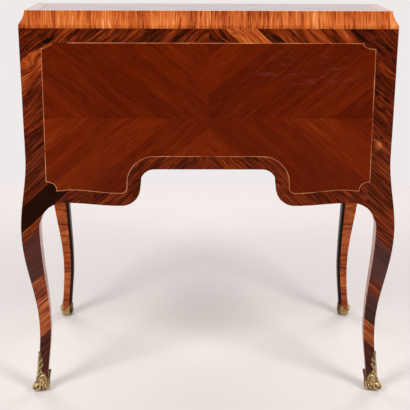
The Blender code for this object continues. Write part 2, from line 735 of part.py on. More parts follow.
def tray(name, low, high, wall, open_front, material):
    # A thin-walled box, open at the top, and at the front where a separate front closes it
    bm = bmesh.new()
    bm.from_mesh(box_mesh(name, low, high))
    bm.normal_update()
    lost = [f for f in bm.faces if f.normal.z > 0.5 or (open_front and f.normal.y < -0.5)]
    bmesh.ops.delete(bm, geom=lost, context="FACES")
    mesh = bpy.data.meshes.new(name)
    bm.to_mesh(mesh)
    bm.free()
    item = place(name, mesh, material)
    solid = item.modifiers.new("walls", "SOLIDIFY")
    solid.thickness = wall
    solid.offset = -1.0
    solid.use_even_offset = True
    solid.use_quality_normals = True
    return item


def frieze_drawer(name, x0, x1, low):
    run = carrier(name + "_run", ((x0 + x1) / 2, -half_depth, low))
    front_back = -half_depth + FRONT_THICKNESS
    top = leg_top - DRAWER_FIT
    front = board(name + "_front", (x0 + DRAWER_FIT, -half_depth, low + DRAWER_FIT),
                  (x1 - DRAWER_FIT, front_back, top), rosewood)
    body = tray(name + "_tray", (x0 + DRAWER_RUN, front_back + SEAT, low + SEAT),
                (x1 - DRAWER_RUN, front_back + SEAT + TRAY_DEPTH, top - TRAY_DROP), TRAY_WALL, True, oak)
    pull = knob(name + "_knob", ((x0 + x1) / 2, -half_depth - SEAT, (low + top) / 2), math.pi / 2)
    carry(run, front, body, pull)


def build_nest():
    base = guide_top + SEAT
    top = base + NEST_HEIGHT
    sweep = shell_inner - NEST_SWEEP
    rear = axis_y + math.sqrt(sweep ** 2 - (top - axis_z) ** 2)
    floor, roof = base + NEST_BOARD, top - NEST_BOARD
    shelf = floor + NEST_DRAWER_BAY
    inside = nest_half - NEST_BOARD
    behind = rear - NEST_BACK
    board("nest_base", (-nest_half, NEST_FRONT, base), (nest_half, rear, floor), rosewood)
    board("nest_top", (-nest_half, NEST_FRONT, roof), (nest_half, rear, top), rosewood)
    board("nest_back", (-inside + SEAT, behind, floor + SEAT), (inside - SEAT, rear, roof - SEAT), oak)
    board("nest_shelf", (-inside + SEAT, NEST_FRONT, shelf),
          (inside - SEAT, behind - SEAT, shelf + NEST_THIN), rosewood)
    for side, name in ((-1, "left"), (1, "right")):
        mirrored_board(f"nest_{name}_end", side, (inside, NEST_FRONT, floor + SEAT),
                       (nest_half, rear, roof - SEAT), rosewood)
        wall = (NEST_BAY - NEST_THIN / 2, NEST_BAY + NEST_THIN / 2)
        mirrored_board(f"nest_{name}_lower_divider", side, (wall[0], NEST_FRONT, floor + SEAT),
                       (wall[1], behind - SEAT, shelf - SEAT), rosewood)
        mirrored_board(f"nest_{name}_upper_divider", side, (wall[0], NEST_FRONT, shelf + NEST_THIN + SEAT),
                       (wall[1], behind - SEAT, roof - SEAT), rosewood)
        nest_drawer(f"nest_{name}_drawer", side, (wall[1], inside), (floor, shelf), behind)


def nest_drawer(name, side, bay, heights, behind):
    xs = sorted((side * (bay[0] + NEST_DRAWER_FIT), side * (bay[1] - NEST_DRAWER_FIT)))
    low, high = heights[0] + SEAT, heights[1] - NEST_DRAWER_FIT
    run = carrier(name + "_run", (sum(xs) / 2, NEST_FRONT, low))
    body = tray(name, (xs[0], NEST_FRONT, low), (xs[1], behind - NEST_DRAWER_STOP, high), NEST_DRAWER_WALL,
                False, tulipwood)
    pull = knob(name + "_knob", (sum(xs) / 2, NEST_FRONT + NEST_DRAWER_WALL / 2, (low + high) / 2),
                math.pi / 2, SMALL_KNOB_SHARE, cutters)
    pull.hide_render = True
    pull.display_type = "WIRE"
    boolean(body, pull, "UNION")
    carry(run, body)


build_case()
build_cornice()
build_cylinder()
build_slide()
frieze_drawer("centre_drawer", -PARTITION_INSIDE, PARTITION_INSIDE, centre_drawer_low)
frieze_drawer("left_drawer", -post_inner, -partition_outside, side_drawer_low)
frieze_drawer("right_drawer", partition_outside, post_inner, side_drawer_low)
build_nest()
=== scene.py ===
import json
import math

import bpy
import numpy as np
from mathutils import Matrix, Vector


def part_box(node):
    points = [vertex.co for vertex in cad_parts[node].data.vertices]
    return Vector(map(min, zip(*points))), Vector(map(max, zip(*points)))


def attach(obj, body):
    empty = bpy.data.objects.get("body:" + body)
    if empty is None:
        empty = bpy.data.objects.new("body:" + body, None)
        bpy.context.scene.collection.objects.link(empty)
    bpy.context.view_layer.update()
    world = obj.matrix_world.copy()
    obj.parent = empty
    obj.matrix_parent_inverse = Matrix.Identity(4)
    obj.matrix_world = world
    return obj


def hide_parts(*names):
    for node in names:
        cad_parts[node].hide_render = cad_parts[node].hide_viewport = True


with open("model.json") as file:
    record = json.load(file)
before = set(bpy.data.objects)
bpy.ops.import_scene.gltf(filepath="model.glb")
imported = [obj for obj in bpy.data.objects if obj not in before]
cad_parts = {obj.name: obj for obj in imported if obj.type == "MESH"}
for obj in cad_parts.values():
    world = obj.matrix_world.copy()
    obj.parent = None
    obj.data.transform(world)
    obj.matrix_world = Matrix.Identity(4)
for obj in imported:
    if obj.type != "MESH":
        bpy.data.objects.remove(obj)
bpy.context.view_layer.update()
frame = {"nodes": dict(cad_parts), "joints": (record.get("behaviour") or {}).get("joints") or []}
nodes = frame["nodes"]
print("desk frame loaded,", len(nodes), "pieces")

# places that everything else is worked out from, metres
halfWidth, backFace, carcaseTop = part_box("back_panel")[1]
frontFace = -backFace
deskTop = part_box("top_panel")[1].z
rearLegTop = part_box("rear_left_leg")[1].z
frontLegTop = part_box("front_left_leg")[1].z
hinge = next(joint for joint in frame["joints"] if joint["type"] == "hinge")
axisY, axisZ = hinge["pos_m"][1:]
skin = 0.0003                      # veneer stands this much over the bare boards


# shader nodes
class Flow:
    # a node's output; + - * / and abs() on it each add a math node, so that a finish reads as a formula
    def __init__(self, tree, socket):
        self.tree = tree
        self.socket = socket

    def __add__(self, other):
        return calc("ADD", self, other)

    def __sub__(self, other):
        return calc("SUBTRACT", self, other)

    def __rsub__(self, other):
        return calc("SUBTRACT", other, self)

    def __mul__(self, other):
        return calc("MULTIPLY", self, other)

    def __truediv__(self, other):
        return calc("DIVIDE", self, other)

    def __abs__(self):
        return calc("ABSOLUTE", self)


def fill(socket, value):
    # a socket takes either another node's output or a plain value
    if isinstance(value, Flow):
        value.tree.links.new(value.socket, socket)
    else:
        socket.default_value = value


def addNode(kind, values, out=0, tree=None, **settings):
    # a new node, in the tree that its values come from where none is named
    tree = tree or next(value.tree for value in values.values() if isinstance(value, Flow))
    node = tree.nodes.new("ShaderNode" + kind)
    for name, setting in settings.items():
        setattr(node, name, setting)
    for key, value in values.items():
        fill(node.inputs[key], value)
    return Flow(tree, node.outputs[out])


def calc(work, *values):
    return addNode("Math", dict(enumerate(values)), operation=work)


def vector(x, y, z=0.0):
    return addNode("CombineXYZ", {0: x, 1: y, 2: z})


noiseRange = (0.3, 0.7)             # where nearly all of a noise lies


def clouds(place, scale, detail=4.0, rough=0.55, bend=0.0):
    return addNode("TexNoise", {"Vector": place, "Scale": scale, "Detail": detail, "Roughness": rough,
                                "Distortion": bend}, "Fac")


def spread(value, low, high, toLow, toHigh):
    # low to high becomes toLow to toHigh, and stops there
    return addNode("MapRange", dict(enumerate((value, low, high, toLow, toHigh))))


def blendColours(share, first, second):
    return addNode("Mix", {0: share, 6: first, 7: second}, 2, data_type="RGBA")


def ramp(share, stops, hard=False):
    colour = addNode("ValToRGB", {0: share})
    bar = colour.socket.node.color_ramp
    bar.interpolation = "CONSTANT" if hard else "LINEAR"
    while len(bar.elements) < len(stops):
        bar.elements.new(0.5)
    for element, (at, shade) in zip(bar.elements, stops):
        element.position = at
        element.color = shade
    return colour


def relief(height, strength, distance):
    return addNode("Bump", {"Strength": strength, "Distance": distance, "Height": height})


def split(kind, value):
    outputs = addNode("Separate" + kind, {0: value}).socket.node.outputs
    return [Flow(value.tree, socket) for socket in outputs]


def coordinates(tree, kind="Object"):
    return addNode("TexCoord", {}, kind, tree)


def sheetPlace(tree, plane):
    # the two coordinates that lie in the sheet: object axes such as XZ, or the piece's own UV
    onSheet = plane == "UV"
    parts = split("XYZ", coordinates(tree, "UV" if onSheet else "Object"))
    return [parts["XYZ".index(axis)] for axis in ("XY" if onSheet else plane)]


def srgb(colour):
    # picture values 0-255 turned into linear light
    share = np.array(colour) / 255
    linear = np.where(share <= 0.04045, share / 12.92, ((share + 0.055) / 1.055) ** 2.4)
    return (*linear.tolist(), 1.0)


def toneRamp(share, tones):
    return ramp(share, [(at, srgb(colour)) for at, colour in tones])


def newLook(name):
    look = bpy.data.materials.new(name)
    look.use_nodes = True
    return look, look.node_tree, look.node_tree.nodes["Principled BSDF"]


def dress(shader, values):
    for name, value in values.items():
        fill(shader.inputs[name], value)


# A leaf list gives, for each stretch across the grain, how light a veneer leaf is (0.5 plain), how strong its
# colour is (1 plain) and how lively its figure is (1 plain); they travel as the colour of one stepped ramp.
def leafRamp(across, leaves):
    stops = []
    for start, tone, *rest in leaves:
        strength, life = rest or (1.0, 1.0)
        stops.append((start, (tone, strength / 2, life / 2, 1.0)))
    return ramp(across, stops, hard=True)


def leafTones(side, up, across, leaves):
    # the leaf lists of the two halves, and of the band over the field where that has its own
    rightHalf = calc("GREATER_THAN", side, 0.0)
    placed = blendColours(rightHalf, leafRamp(across, leaves["left"]), leafRamp(across, leaves["right"]))
    if "topLeft" in leaves:
        overField = (calc("GREATER_THAN", up, leaves["topFrom"])
                     * calc("LESS_THAN", abs(side), leaves["topTo"]))
        overhead = blendColours(rightHalf, leafRamp(across, leaves["topLeft"]),
                                leafRamp(across, leaves["topRight"]))
        placed = blendColours(overField, placed, overhead)
    tone, strength, life = split("Color", placed)
    return tone, strength * 2.0, life * 2.0


def ovalAway(side, up, centre, halves, angle=0.0):
    # squared distance from a centre, counted in the half length and half width of an oval turned from level
    cosA, sinA = math.cos(math.radians(angle)), math.sin(math.radians(angle))
    offSide, offUp = side - centre[0], up - centre[1]
    run = (offSide * cosA + offUp * sinA) / halves[0]
    rise = (offUp * cosA - offSide * sinA) / halves[1]
    return run * run + rise * rise


knotEdge = {"scale": 130.0, "ragged": 1.6}


def knotTone(side, up, knot):
    # an eye drawn out along a line: place, half length, half width, angle from level, and how much darker
    # it is (lighter where that is below 0); noise makes its edge ragged
    atSide, atUp, long, short, angle, deep = knot
    away = ovalAway(side, up, (atSide, atUp), (long, short), angle)
    ragged = (clouds(vector(side, up), knotEdge["scale"], 3.0) - 0.5) * knotEdge["ragged"] + away
    return spread(ragged, 0.0, 1.0, deep, 0.0)


def eyeBend(side, up, eye):
    # grain swept round an eye: a bell-shaped lift of the distance across the grain; place, half size, lift
    atSide, atUp, size, lift = eye
    away = ovalAway(side, up, (atSide, atUp), (size, size))
    return calc("EXPONENT", away * -1.0) * lift


# what all veneers share; each wood below changes what it needs
veneer = {
    "grain": 0, "match": "plain", "middle": 0.0, "level": 0.0, "halfTone": 0.0, "scuff": None,
    "halfShift": 2.7, "levelShift": 1.3, "leafShift": 3.0, "placedShift": 5.0,
    "lines": 330.0, "veinWidth": 0.085, "pores": 1500.0, "poreStretch": 0.05, "poreRange": (0.30, 0.42),
    "haze": 9.0, "coat": 0.0, "coatRough": 0.10, "coatIor": 1.5,
    "bump": 0.10, "bumpDepth": 0.0004, "streakBump": 0.6,
}
# pale rubbed marks: wear, and painted reflection of the room on the polish
rubAndSheenMarks = {"stretch": 0.22, "scale": 70.0, "range": (0.54, 0.74), "colour": (150, 92, 84)}


def veneerLook(name, wood, plane, leaves=None):
    # Straight-grained veneer. The sheet's two coordinates are folded about the middle where leaves are
    # book-matched, then turned to the grain: across = up cos(a) + side sin(a), along = side cos(a) - up
    # sin(a). Streaks are noise squeezed along the grain, each leaf is shifted and toned by itself, and thin
    # dark veins lie where another noise crosses its middle.
    look, tree, shader = newLook(name)
    plainSide, plainUp = sheetPlace(tree, plane)
    side, up = plainSide - wood["middle"], plainUp - wood["level"]
    upperHalf = calc("SIGN", up)
    shift = 0.0
    if wood["match"] in ("halves", "quarters"):
        shift = calc("SIGN", side) * wood["halfShift"]
        side = abs(side)
    if wood["match"] == "quarters":
        shift = upperHalf * wood["levelShift"] + shift
        up = abs(up)
    cosA, sinA = math.cos(math.radians(wood["grain"])), math.sin(math.radians(wood["grain"]))
    across = up * cosA + side * sinA
    along = side * cosA - up * sinA

    cell = addNode("TexVoronoi", {"W": across + shift, "Scale": 1.0 / wood["leaf"]}, "Color",
                   voronoi_dimensions="1D")
    toneChance, shiftChance = split("Color", cell)[:2]
    leafShift = shiftChance * wood["leafShift"] + shift
    tone = (toneChance - 0.5) * wood["leafSpread"] - upperHalf * wood["halfTone"]
    life = 1.0
    if leaves:
        placed, strength, life = leafTones(plainSide, plainUp, across, leaves)
        tone = tone + placed - 0.5
        leafShift = placed * wood["placedShift"] + leafShift
        for knot in leaves["knots"]:
            tone = tone - knotTone(plainSide, plainUp, knot)

    wander = clouds(vector(across, along, leafShift), wood["wanderScale"], 2.0)
    bent = (wander - 0.5) * wood["wander"] + across
    for eye in leaves["eyes"] if leaves else []:
        bent = bent + eyeBend(plainSide, plainUp, eye)
    place = vector(bent, along * wood["stretch"], leafShift)
    streaks = clouds(place, wood["streaks"], 5.0, 0.66, 0.15)
    lines = clouds(place, wood["lines"], 3.0, 0.5)
    crossing = abs(clouds(place, wood["veins"], 3.0, 0.55, 0.3) * 2.0 - 1.0)
    vein = spread(crossing, 0.0, wood["veinWidth"], wood["veinDark"], 0.0)
    figure = (streaks - 0.5) * wood["contrast"] + (lines - 0.5) * wood["lineContrast"] - vein
    colour = toneRamp(figure * life + tone + 0.5, wood["tones"])
    pores = clouds(vector(bent, along * wood["poreStretch"], leafShift), wood["pores"], 2.0)
    darkest = srgb(wood["tones"][0][1])
    colour = blendColours(spread(pores, *wood["poreRange"], wood["poreDark"], 0.0), colour, darkest)
    if leaves:
        colour = addNode("HueSaturation", {"Saturation": strength, "Color": colour})
    haze = clouds(vector(plainSide, plainUp), wood["haze"], 3.0)
    rough = spread(haze, *noiseRange, *wood["rough"])
    if wood["scuff"]:
        # faint rubbed marks in one oval patch, in rows, paler: wear with a painted reflection on the polish
        centre, halves, strong = wood["scuff"]
        away = ovalAway(plainSide, plainUp, centre, halves)
        rows = vector(plainSide * rubAndSheenMarks["stretch"], plainUp, 4.0)
        marks = clouds(rows, rubAndSheenMarks["scale"], 4.0, 0.75)
        rubSheen = spread(marks, *rubAndSheenMarks["range"], 0.0, strong) * spread(away, 0.2, 1.0, 1.0, 0.0)
        colour = blendColours(rubSheen, colour, srgb(rubAndSheenMarks["colour"]))
        rough = rough + rubSheen
    grain = relief(pores + streaks * wood["streakBump"], wood["bump"], wood["bumpDepth"])
    dress(shader, {"Base Color": colour, "Roughness": rough, "Normal": grain,
                   "Specular IOR Level": wood["sheen"], "Coat Weight": wood["coat"],
                   "Coat Roughness": wood["coatRough"], "Coat IOR": wood["coatIor"]})
    return look


# rosewood banding, streaks at 42 degrees that fall away from the middle of the desk
rosewood = {
    **veneer, "grain": 42, "match": "halves", "wander": 0.020, "wanderScale": 13.0, "leaf": 0.062,
    "leafSpread": 0.10, "streaks": 115.0, "stretch": 0.065, "contrast": 0.82, "lineContrast": 0.95,
    "veins": 95.0, "veinDark": 0.20, "poreDark": 0.35, "rough": (0.30, 0.42), "sheen": 0.16, "coat": 0.05,
    "tones": [(0.08, (20, 5, 1)), (0.28, (46, 12, 2)), (0.46, (84, 23, 3)), (0.60, (116, 40, 8)),
              (0.76, (152, 62, 18)), (0.98, (198, 102, 44))],
}
# straighter and finer on the legs
legWood = {
    **rosewood, "wander": 0.007, "streaks": 145.0, "stretch": 0.030, "contrast": 0.62, "lineContrast": 1.15,
    "veinDark": 0.16,
    "tones": [(0.08, (20, 5, 1)), (0.28, (46, 13, 3)), (0.46, (82, 25, 6)), (0.60, (110, 41, 12)),
              (0.76, (148, 67, 27)), (0.98, (198, 114, 62))],
}
# leaves placed one by one: (start of the leaf across the grain, tone, colour strength, life)
leavesRight = [(0.646, 0.15, 1.0, 0.35), (0.695, 0.53), (0.760, 0.50), (0.830, 0.57), (0.906, 0.72),
               (0.955, 0.46)]
leavesLeft = [(0.613, 0.55), (0.690, 0.47), (0.740, 0.51), (0.785, 0.56), (0.805, 0.46), (0.860, 0.42),
              (0.907, 0.52), (0.930, 0.46)]
backKnots = [(0.3990, 0.9205, 0.036, 0.0075, 149, 0.42), (0.3830, 0.9305, 0.010, 0.0060, 149, 0.40),
             (-0.4332, 0.9123, 0.012, 0.004, 42, 0.25), (-0.4073, 0.8074, 0.014, 0.005, 42, 0.30),
             (-0.4325, 0.7898, 0.014, 0.006, 42, 0.30), (0.4270, 0.8660, 0.012, 0.004, 138, 0.16),
             (-0.4290, 0.7662, 0.013, 0.005, 42, 0.26), (-0.4190, 0.6720, 0.019, 0.0130, 120, -0.26),
             (-0.4360, 0.6830, 0.016, 0.0060, 42, 0.22)]
backEyes = [(-0.4205, 0.6720, 0.015, 0.040), (0.4330, 0.8720, 0.013, 0.022), (0.0330, 0.6290, 0.011, 0.024)]
panelLeaves = {
    "right": [(0.0, 0.54)] + leavesRight,
    "left": [(0.0, 0.54)] + leavesLeft,
    "topFrom": 0.9245, "topTo": 0.400,           # the band over the field: above this level, this far out
    "topRight": [(0.0, 0.48), (0.703, 0.50), (0.738, 0.38), (0.752, 0.60), (0.768, 0.46), (0.805, 0.54),
                 (0.851, 0.46), (0.900, 0.51), (0.921, 0.58), (0.938, 0.42)],
    "topLeft": [(0.0, 0.48), (0.703, 0.46), (0.737, 0.84), (0.786, 0.44), (0.812, 0.66), (0.827, 0.54),
                (0.865, 0.62), (0.885, 0.52), (0.907, 0.68), (0.926, 0.44)],
    "knots": backKnots, "eyes": backEyes,
}
legLeaves = {
    "right": [(0.0, 0.40, 0.95, 0.7), (0.403, 0.79, 1.0, 1.5), (0.530, 0.48, 0.84, 0.30),
              (0.622, 0.60)] + leavesRight,
    "left": [(0.0, 0.36, 0.95, 0.6), (0.384, 0.78, 1.0, 1.2), (0.428, 0.38, 0.8, 0.5), (0.491, 0.57),
             (0.526, 0.44, 0.74, 0.40), (0.5975, 0.54, 0.85, 0.6)] + leavesLeft,
    "knots": backKnots, "eyes": [],
}
# the quarter-matched field: plain red-brown veneer, lines that run in to the middle
fieldWood = {
    **veneer, "grain": -39, "match": "quarters", "level": 0.742, "halfTone": 0.05, "wander": 0.016,
    "wanderScale": 6.0, "leaf": 0.075, "leafSpread": 0.20, "streaks": 60.0, "stretch": 0.07, "contrast": 0.58,
    "lineContrast": 0.52, "veins": 60.0, "veinDark": 0.10, "pores": 1300.0, "poreDark": 0.25,
    "rough": (0.28, 0.40), "sheen": 0.12, "coat": 0.04, "coatRough": 0.08, "bump": 0.06,
    "tones": [(0.10, (62, 10, 0)), (0.40, (92, 23, 0)), (0.55, (105, 29, 1)), (0.72, (120, 39, 4)),
              (0.95, (150, 62, 20))],
}
# cross-banded tulipwood of the cornice, grain upright
tulipwood = {
    **veneer, "grain": 90, "wander": 0.009, "wanderScale": 20.0, "leaf": 0.036, "leafSpread": 0.22,
    "streaks": 125.0, "stretch": 0.060, "lines": 460.0, "contrast": 1.20, "lineContrast": 1.15, "veins": 75.0,
    "veinDark": 0.22, "poreDark": 0.30, "rough": (0.42, 0.55), "sheen": 0.20,
    "tones": [(0.05, (102, 31, 6)), (0.28, (144, 58, 13)), (0.44, (180, 84, 29)), (0.66, (202, 111, 50)),
              (0.95, (232, 158, 96))],
}
# cross grain on the inner faces of the legs
crossWood = {
    **tulipwood, "grain": 0, "leaf": 0.040, "leafSpread": 0.24, "streaks": 70.0, "stretch": 0.14,
    "contrast": 1.0, "lines": 380.0, "lineContrast": 0.90, "veins": 60.0, "veinDark": 0.20,
    "tones": [(0.08, (70, 18, 4)), (0.30, (124, 48, 16)), (0.50, (166, 76, 32)), (0.70, (192, 100, 48)),
              (0.95, (220, 140, 84))],
}
# the dark cut on the inner arris of the legs; it also paints shade on the front legs' faces that look to the
# middle
darkWoodAndShade = {
    **rosewood, "grain": 0, "match": "plain", "leafSpread": 0.08, "contrast": 0.7, "coat": 0.0, "sheen": 0.1,
    "tones": [(0.05, (10, 5, 3)), (0.50, (36, 18, 10)), (0.95, (68, 34, 18))],
}
# bare oak of trays, runners and the nest's back
oakWood = {
    **veneer, "wander": 0.020, "wanderScale": 4.0, "leaf": 0.110, "leafSpread": 0.10, "streaks": 70.0,
    "stretch": 0.035, "lines": 300.0, "contrast": 0.55, "lineContrast": 0.35, "veins": 80.0, "veinDark": 0.08,
    "pores": 1100.0, "poreDark": 0.45, "rough": (0.50, 0.66), "sheen": 0.30, "coatRough": 0.2, "bump": 0.22,
    "tones": [(0.05, (84, 56, 30)), (0.35, (132, 94, 54)), (0.55, (158, 118, 72)), (0.80, (184, 146, 98)),
              (0.95, (202, 168, 122))],
}


castMetal = {"stainRange": (0.45, 0.75), "grain": 6, "roughRange": (0.3, 1.3), "depth": 0.0005}


def metalLook(name, metal):
    # Cast metal: worn bright on ridges, dark patina in hollows and in clouds; a piece may add its own patina
    # and painted shade in its UV
    look, tree, shader = newLook(name)
    coords = coordinates(tree)
    hollow = spread(addNode("NewGeometry", {}, "Pointiness", tree), *metal["hollows"], 1.0, 0.0)
    stain = clouds(coords, metal["stainScale"], 5.0, 0.6)
    stain = spread(stain, *castMetal["stainRange"], 0.0, metal["stainPatina"])
    darkening = hollow * metal["hollowPatina"] + stain
    darkening = calc("MINIMUM", darkening + sheetPlace(tree, "UV")[0], 1.0)
    grainy = clouds(coords, metal["stainScale"] * castMetal["grain"], 3.0)
    rough = spread(grainy + darkening, *castMetal["roughRange"], *metal["rough"])
    dress(shader, {"Base Color": blendColours(darkening, srgb(metal["bright"]), srgb(metal["dark"])),
                   "Metallic": 1.0, "Roughness": rough,
                   "Normal": relief(grainy, metal["bump"], castMetal["depth"])})
    return look


giltBronze = {"bright": (232, 200, 146), "dark": (50, 36, 17), "hollows": (0.44, 0.51), "hollowPatina": 0.60,
              "stainScale": 90.0, "stainPatina": 0.45, "rough": (0.26, 0.52), "bump": 0.25}
dullBrass = {"bright": (196, 160, 86), "dark": (92, 68, 30), "hollows": (0.42, 0.50), "hollowPatina": 0.4,
             "stainScale": 60.0, "stainPatina": 0.5, "rough": (0.30, 0.55), "bump": 0.12}
darkIron = {"bright": (104, 98, 92), "dark": (46, 38, 32), "hollows": (0.42, 0.50), "hollowPatina": 0.4,
            "stainScale": 70.0, "stainPatina": 0.7, "rough": (0.42, 0.70), "bump": 0.35}
leafGold = {"bright": (232, 194, 112), "dark": (150, 110, 48), "hollows": (0.40, 0.48), "hollowPatina": 0.2,
            "stainScale": 140.0, "stainPatina": 0.6, "rough": (0.24, 0.48), "bump": 0.10}


def leatherLook(name, hide):
    # Waxed hide: small pebbles from a cell pattern, darker in the creases, rubbed paler in broad patches
    look, tree, shader = newLook(name)
    coords = coordinates(tree)
    toEdge = addNode("TexVoronoi", {"Vector": coords, "Scale": hide["pebbles"]}, "Distance",
                     feature="DISTANCE_TO_EDGE")
    pebble = spread(toEdge, 0.0, hide["creaseWidth"], 0.0, 1.0)
    rubbed = clouds(coords, hide["rubScale"], 4.0)
    colour = blendColours(spread(rubbed, *hide["rubRange"], 0.0, 1.0), srgb(hide["deep"]), srgb(hide["worn"]))
    colour = blendColours((1.0 - pebble) * hide["creaseDark"], colour, srgb(hide["crease"]))
    dress(shader, {"Base Color": colour, "Roughness": spread(rubbed, *noiseRange, *hide["rough"]),
                   "Normal": relief(pebble, hide["bump"], hide["bumpDepth"])})
    return look


deskHide = {"pebbles": 620.0, "creaseWidth": 0.22, "creaseDark": 0.5, "rubScale": 7.0,
            "rubRange": (0.38, 0.68), "deep": (40, 54, 30), "worn": (74, 84, 46), "crease": (20, 28, 16),
            "rough": (0.52, 0.36), "bump": 0.35, "bumpDepth": 0.0004}


def stringLook(name, wood):
    # Thin strip of pale fruitwood, toned by old polish, with short darker lengths and spots gone dull
    look, tree, shader = newLook(name)
    coords = coordinates(tree)
    age = clouds(coords, wood["ageScale"], 5.0, 0.65)
    for spot in wood["dulled"]:
        age = age - knotTone(*sheetPlace(tree, "XZ"), spot)
    dress(shader, {"Base Color": toneRamp(age, wood["tones"]), "Coat Weight": wood["coat"],
                   "Roughness": spread(age, *noiseRange, *wood["rough"]),
                   "Normal": relief(clouds(coords, wood["fibres"], 2.0), wood["bump"], wood["bumpDepth"])})
    return look


boxwood = {
    "ageScale": 16.0, "dulled": [], "rough": (0.28, 0.44), "coat": 0.2, "fibres": 900.0, "bump": 0.08,
    "bumpDepth": 0.0003,
    "tones": [(0.20, (66, 22, 8)), (0.34, (112, 44, 16)), (0.44, (184, 104, 60)), (0.56, (214, 138, 92)),
              (0.74, (234, 176, 130))],
}
dulledCorner = {**boxwood, "dulled": [(0.366, 0.919, 0.036, 0.014, 170, 0.36)]}
# the top is waxed smooth, so at a flat angle it shows the pale wall
waxed = {"rough": (0.20, 0.28), "sheen": 0.12, "coat": 1.0, "coatRough": 0.16, "coatIor": 1.40, "bump": 0.0}
polished = {"coat": 1.0, "coatRough": 0.14}
# a patch of pale rubbed marks on the back field: wear with a painted reflection
rubAndSheenPatch = {"scuff": ((-0.225, 0.858), (0.165, 0.060), 0.22)}     # centre, half width and height, strength

bandBack = veneerLook("rosewoodBand", rosewood, "XZ", panelLeaves)
bandLeg = veneerLook("rosewoodLeg", legWood, "XZ", legLeaves)
bandSide = veneerLook("rosewoodSide", rosewood, "YZ")
bandRoll = veneerLook("rosewoodRoll", rosewood, "UV")
bandFlat = veneerLook("rosewoodFlat", {**rosewood, "grain": 90, "match": "plain"}, "YX")
fieldBack = veneerLook("fieldBack", {**fieldWood, **rubAndSheenPatch}, "XZ")
fieldSide = veneerLook("fieldSide", {**fieldWood, "middle": 0.02}, "YZ")
fieldRoll = veneerLook("fieldRoll", {**fieldWood, "level": 0.18}, "UV")
fieldTop = veneerLook("fieldTop", {**fieldWood, **waxed, "level": 0.1445}, "XY")
corniceTop = veneerLook("tulipwoodTop", {**tulipwood, **waxed}, "XY")
fieldDrawer = veneerLook("fieldDrawer", {**fieldWood, "match": "halves", "grain": 39}, "XZ")
corniceAcross = veneerLook("tulipwoodAcross", tulipwood, "XZ")
corniceAlong = veneerLook("tulipwoodAlong", tulipwood, "YZ")
legCross = veneerLook("legCrossGrain", crossWood, "XZ")
legCrossSide = veneerLook("legCrossGrainSide", {**crossWood, **polished}, "YZ")
legChamfer = veneerLook("legChamfer", darkWoodAndShade, "XZ")
nestWood = veneerLook("nestTulipwood", {**tulipwood, "grain": 0}, "XZ")
nestEdge = veneerLook("nestRosewood", {**rosewood, "grain": 0, "match": "plain"}, "XZ")
oakLong = veneerLook("oakLong", oakWood, "YX")
oakAcross = veneerLook("oakAcross", oakWood, "XY")
stringing = stringLook("boxwoodString", boxwood)
stringBack = stringLook("boxwoodBack", dulledCorner)
bronze = metalLook("giltBronze", giltBronze)
brass = metalLook("lockBrass", dullBrass)
iron = metalLook("forgedIron", darkIron)
gold = metalLook("goldTooling", leafGold)
hideLook = leatherLook("deskHide", deskHide)
print("finishes made:", len(bpy.data.materials))


# grid pieces
def gridFaces(rows, cols, wrapRows):
    # quads between neighbouring rows and columns; columns close round, and rows where asked
    r, c = np.meshgrid(np.arange(rows - (not wrapRows)), np.arange(cols), indexing="ij")
    rNext, cNext = (r + 1) % rows, (c + 1) % cols
    quads = np.stack([r * cols + c, r * cols + cNext, rNext * cols + cNext, rNext * cols + c], axis=-1)
    return quads.reshape(-1, 4)


def insideOut(points, quads, rings):
    # the signed volume of a closed grid: negative when its faces look inwards
    corners = points[quads]
    volume = np.einsum("ij,ij->", corners[:, 0], np.cross(corners[:, 1], corners[:, 2]))
    volume += np.einsum("ij,ij->", corners[:, 0], np.cross(corners[:, 2], corners[:, 3]))
    for ring in rings:
        edge = points[ring]
        volume += (np.cross(edge[1:-1], edge[2:]) @ edge[0]).sum()
    return volume < 0


def makePiece(name, grid, looks, body, wrapRows=False, lookOf=None, sheetUv=None, sharp=38):
    # A closed solid: each row of the grid is a loop. The rows either close round too, or end in flat caps.
    rows, cols = grid.shape[:2]
    points = grid.reshape(-1, 3)
    quads = gridFaces(rows, cols, wrapRows)
    rings = [] if wrapRows else [np.arange(cols)[::-1], np.arange(cols) + (rows - 1) * cols]
    if insideOut(points, quads, rings):
        quads = quads[:, ::-1]
        rings = [ring[::-1] for ring in rings]
    mesh = bpy.data.meshes.new(name)
    mesh.from_pydata(points.tolist(), [], quads.tolist() + [ring.tolist() for ring in rings])
    for look in looks if isinstance(looks, list) else [looks]:
        mesh.materials.append(look)
    if lookOf is not None:
        index = np.zeros(len(mesh.polygons), np.int32)
        index[:len(quads)] = lookOf
        mesh.polygons.foreach_set("material_index", index)
    if sheetUv is not None:
        corner = np.zeros(len(mesh.loops), np.int32)
        mesh.loops.foreach_get("vertex_index", corner)
        layer = mesh.uv_layers.new(name="sheet")
        layer.data.foreach_set("uv", sheetUv.reshape(-1, 2)[corner].ravel().astype(np.float32))
    mesh.shade_smooth()
    mesh.set_sharp_from_angle(angle=math.radians(sharp))
    piece = bpy.data.objects.new(name, mesh)
    bpy.context.scene.collection.objects.link(piece)
    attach(piece, body)
    return piece


def arcPoints(centre, radius, start, stop, count):
    # a stretch of a circle, angles in degrees
    turn = np.radians(np.linspace(start, stop, count))
    return np.stack([centre[0] + radius * np.cos(turn), centre[1] + radius * np.sin(turn)], axis=-1)


def evenly(path, count):
    # the same open line with points at even steps along it
    steps = np.linalg.norm(np.diff(path, axis=0), axis=1)
    run = np.concatenate([[0.0], np.cumsum(steps)])
    at = np.linspace(0.0, run[-1], count)
    return np.stack([np.interp(at, run, path[:, 0]), np.interp(at, run, path[:, 1])], axis=-1)


def mirrored(half):
    # a right-hand half line, from the middle out, made whole from left to right
    return np.concatenate([half[::-1] * (-1, 1), half[1:]])


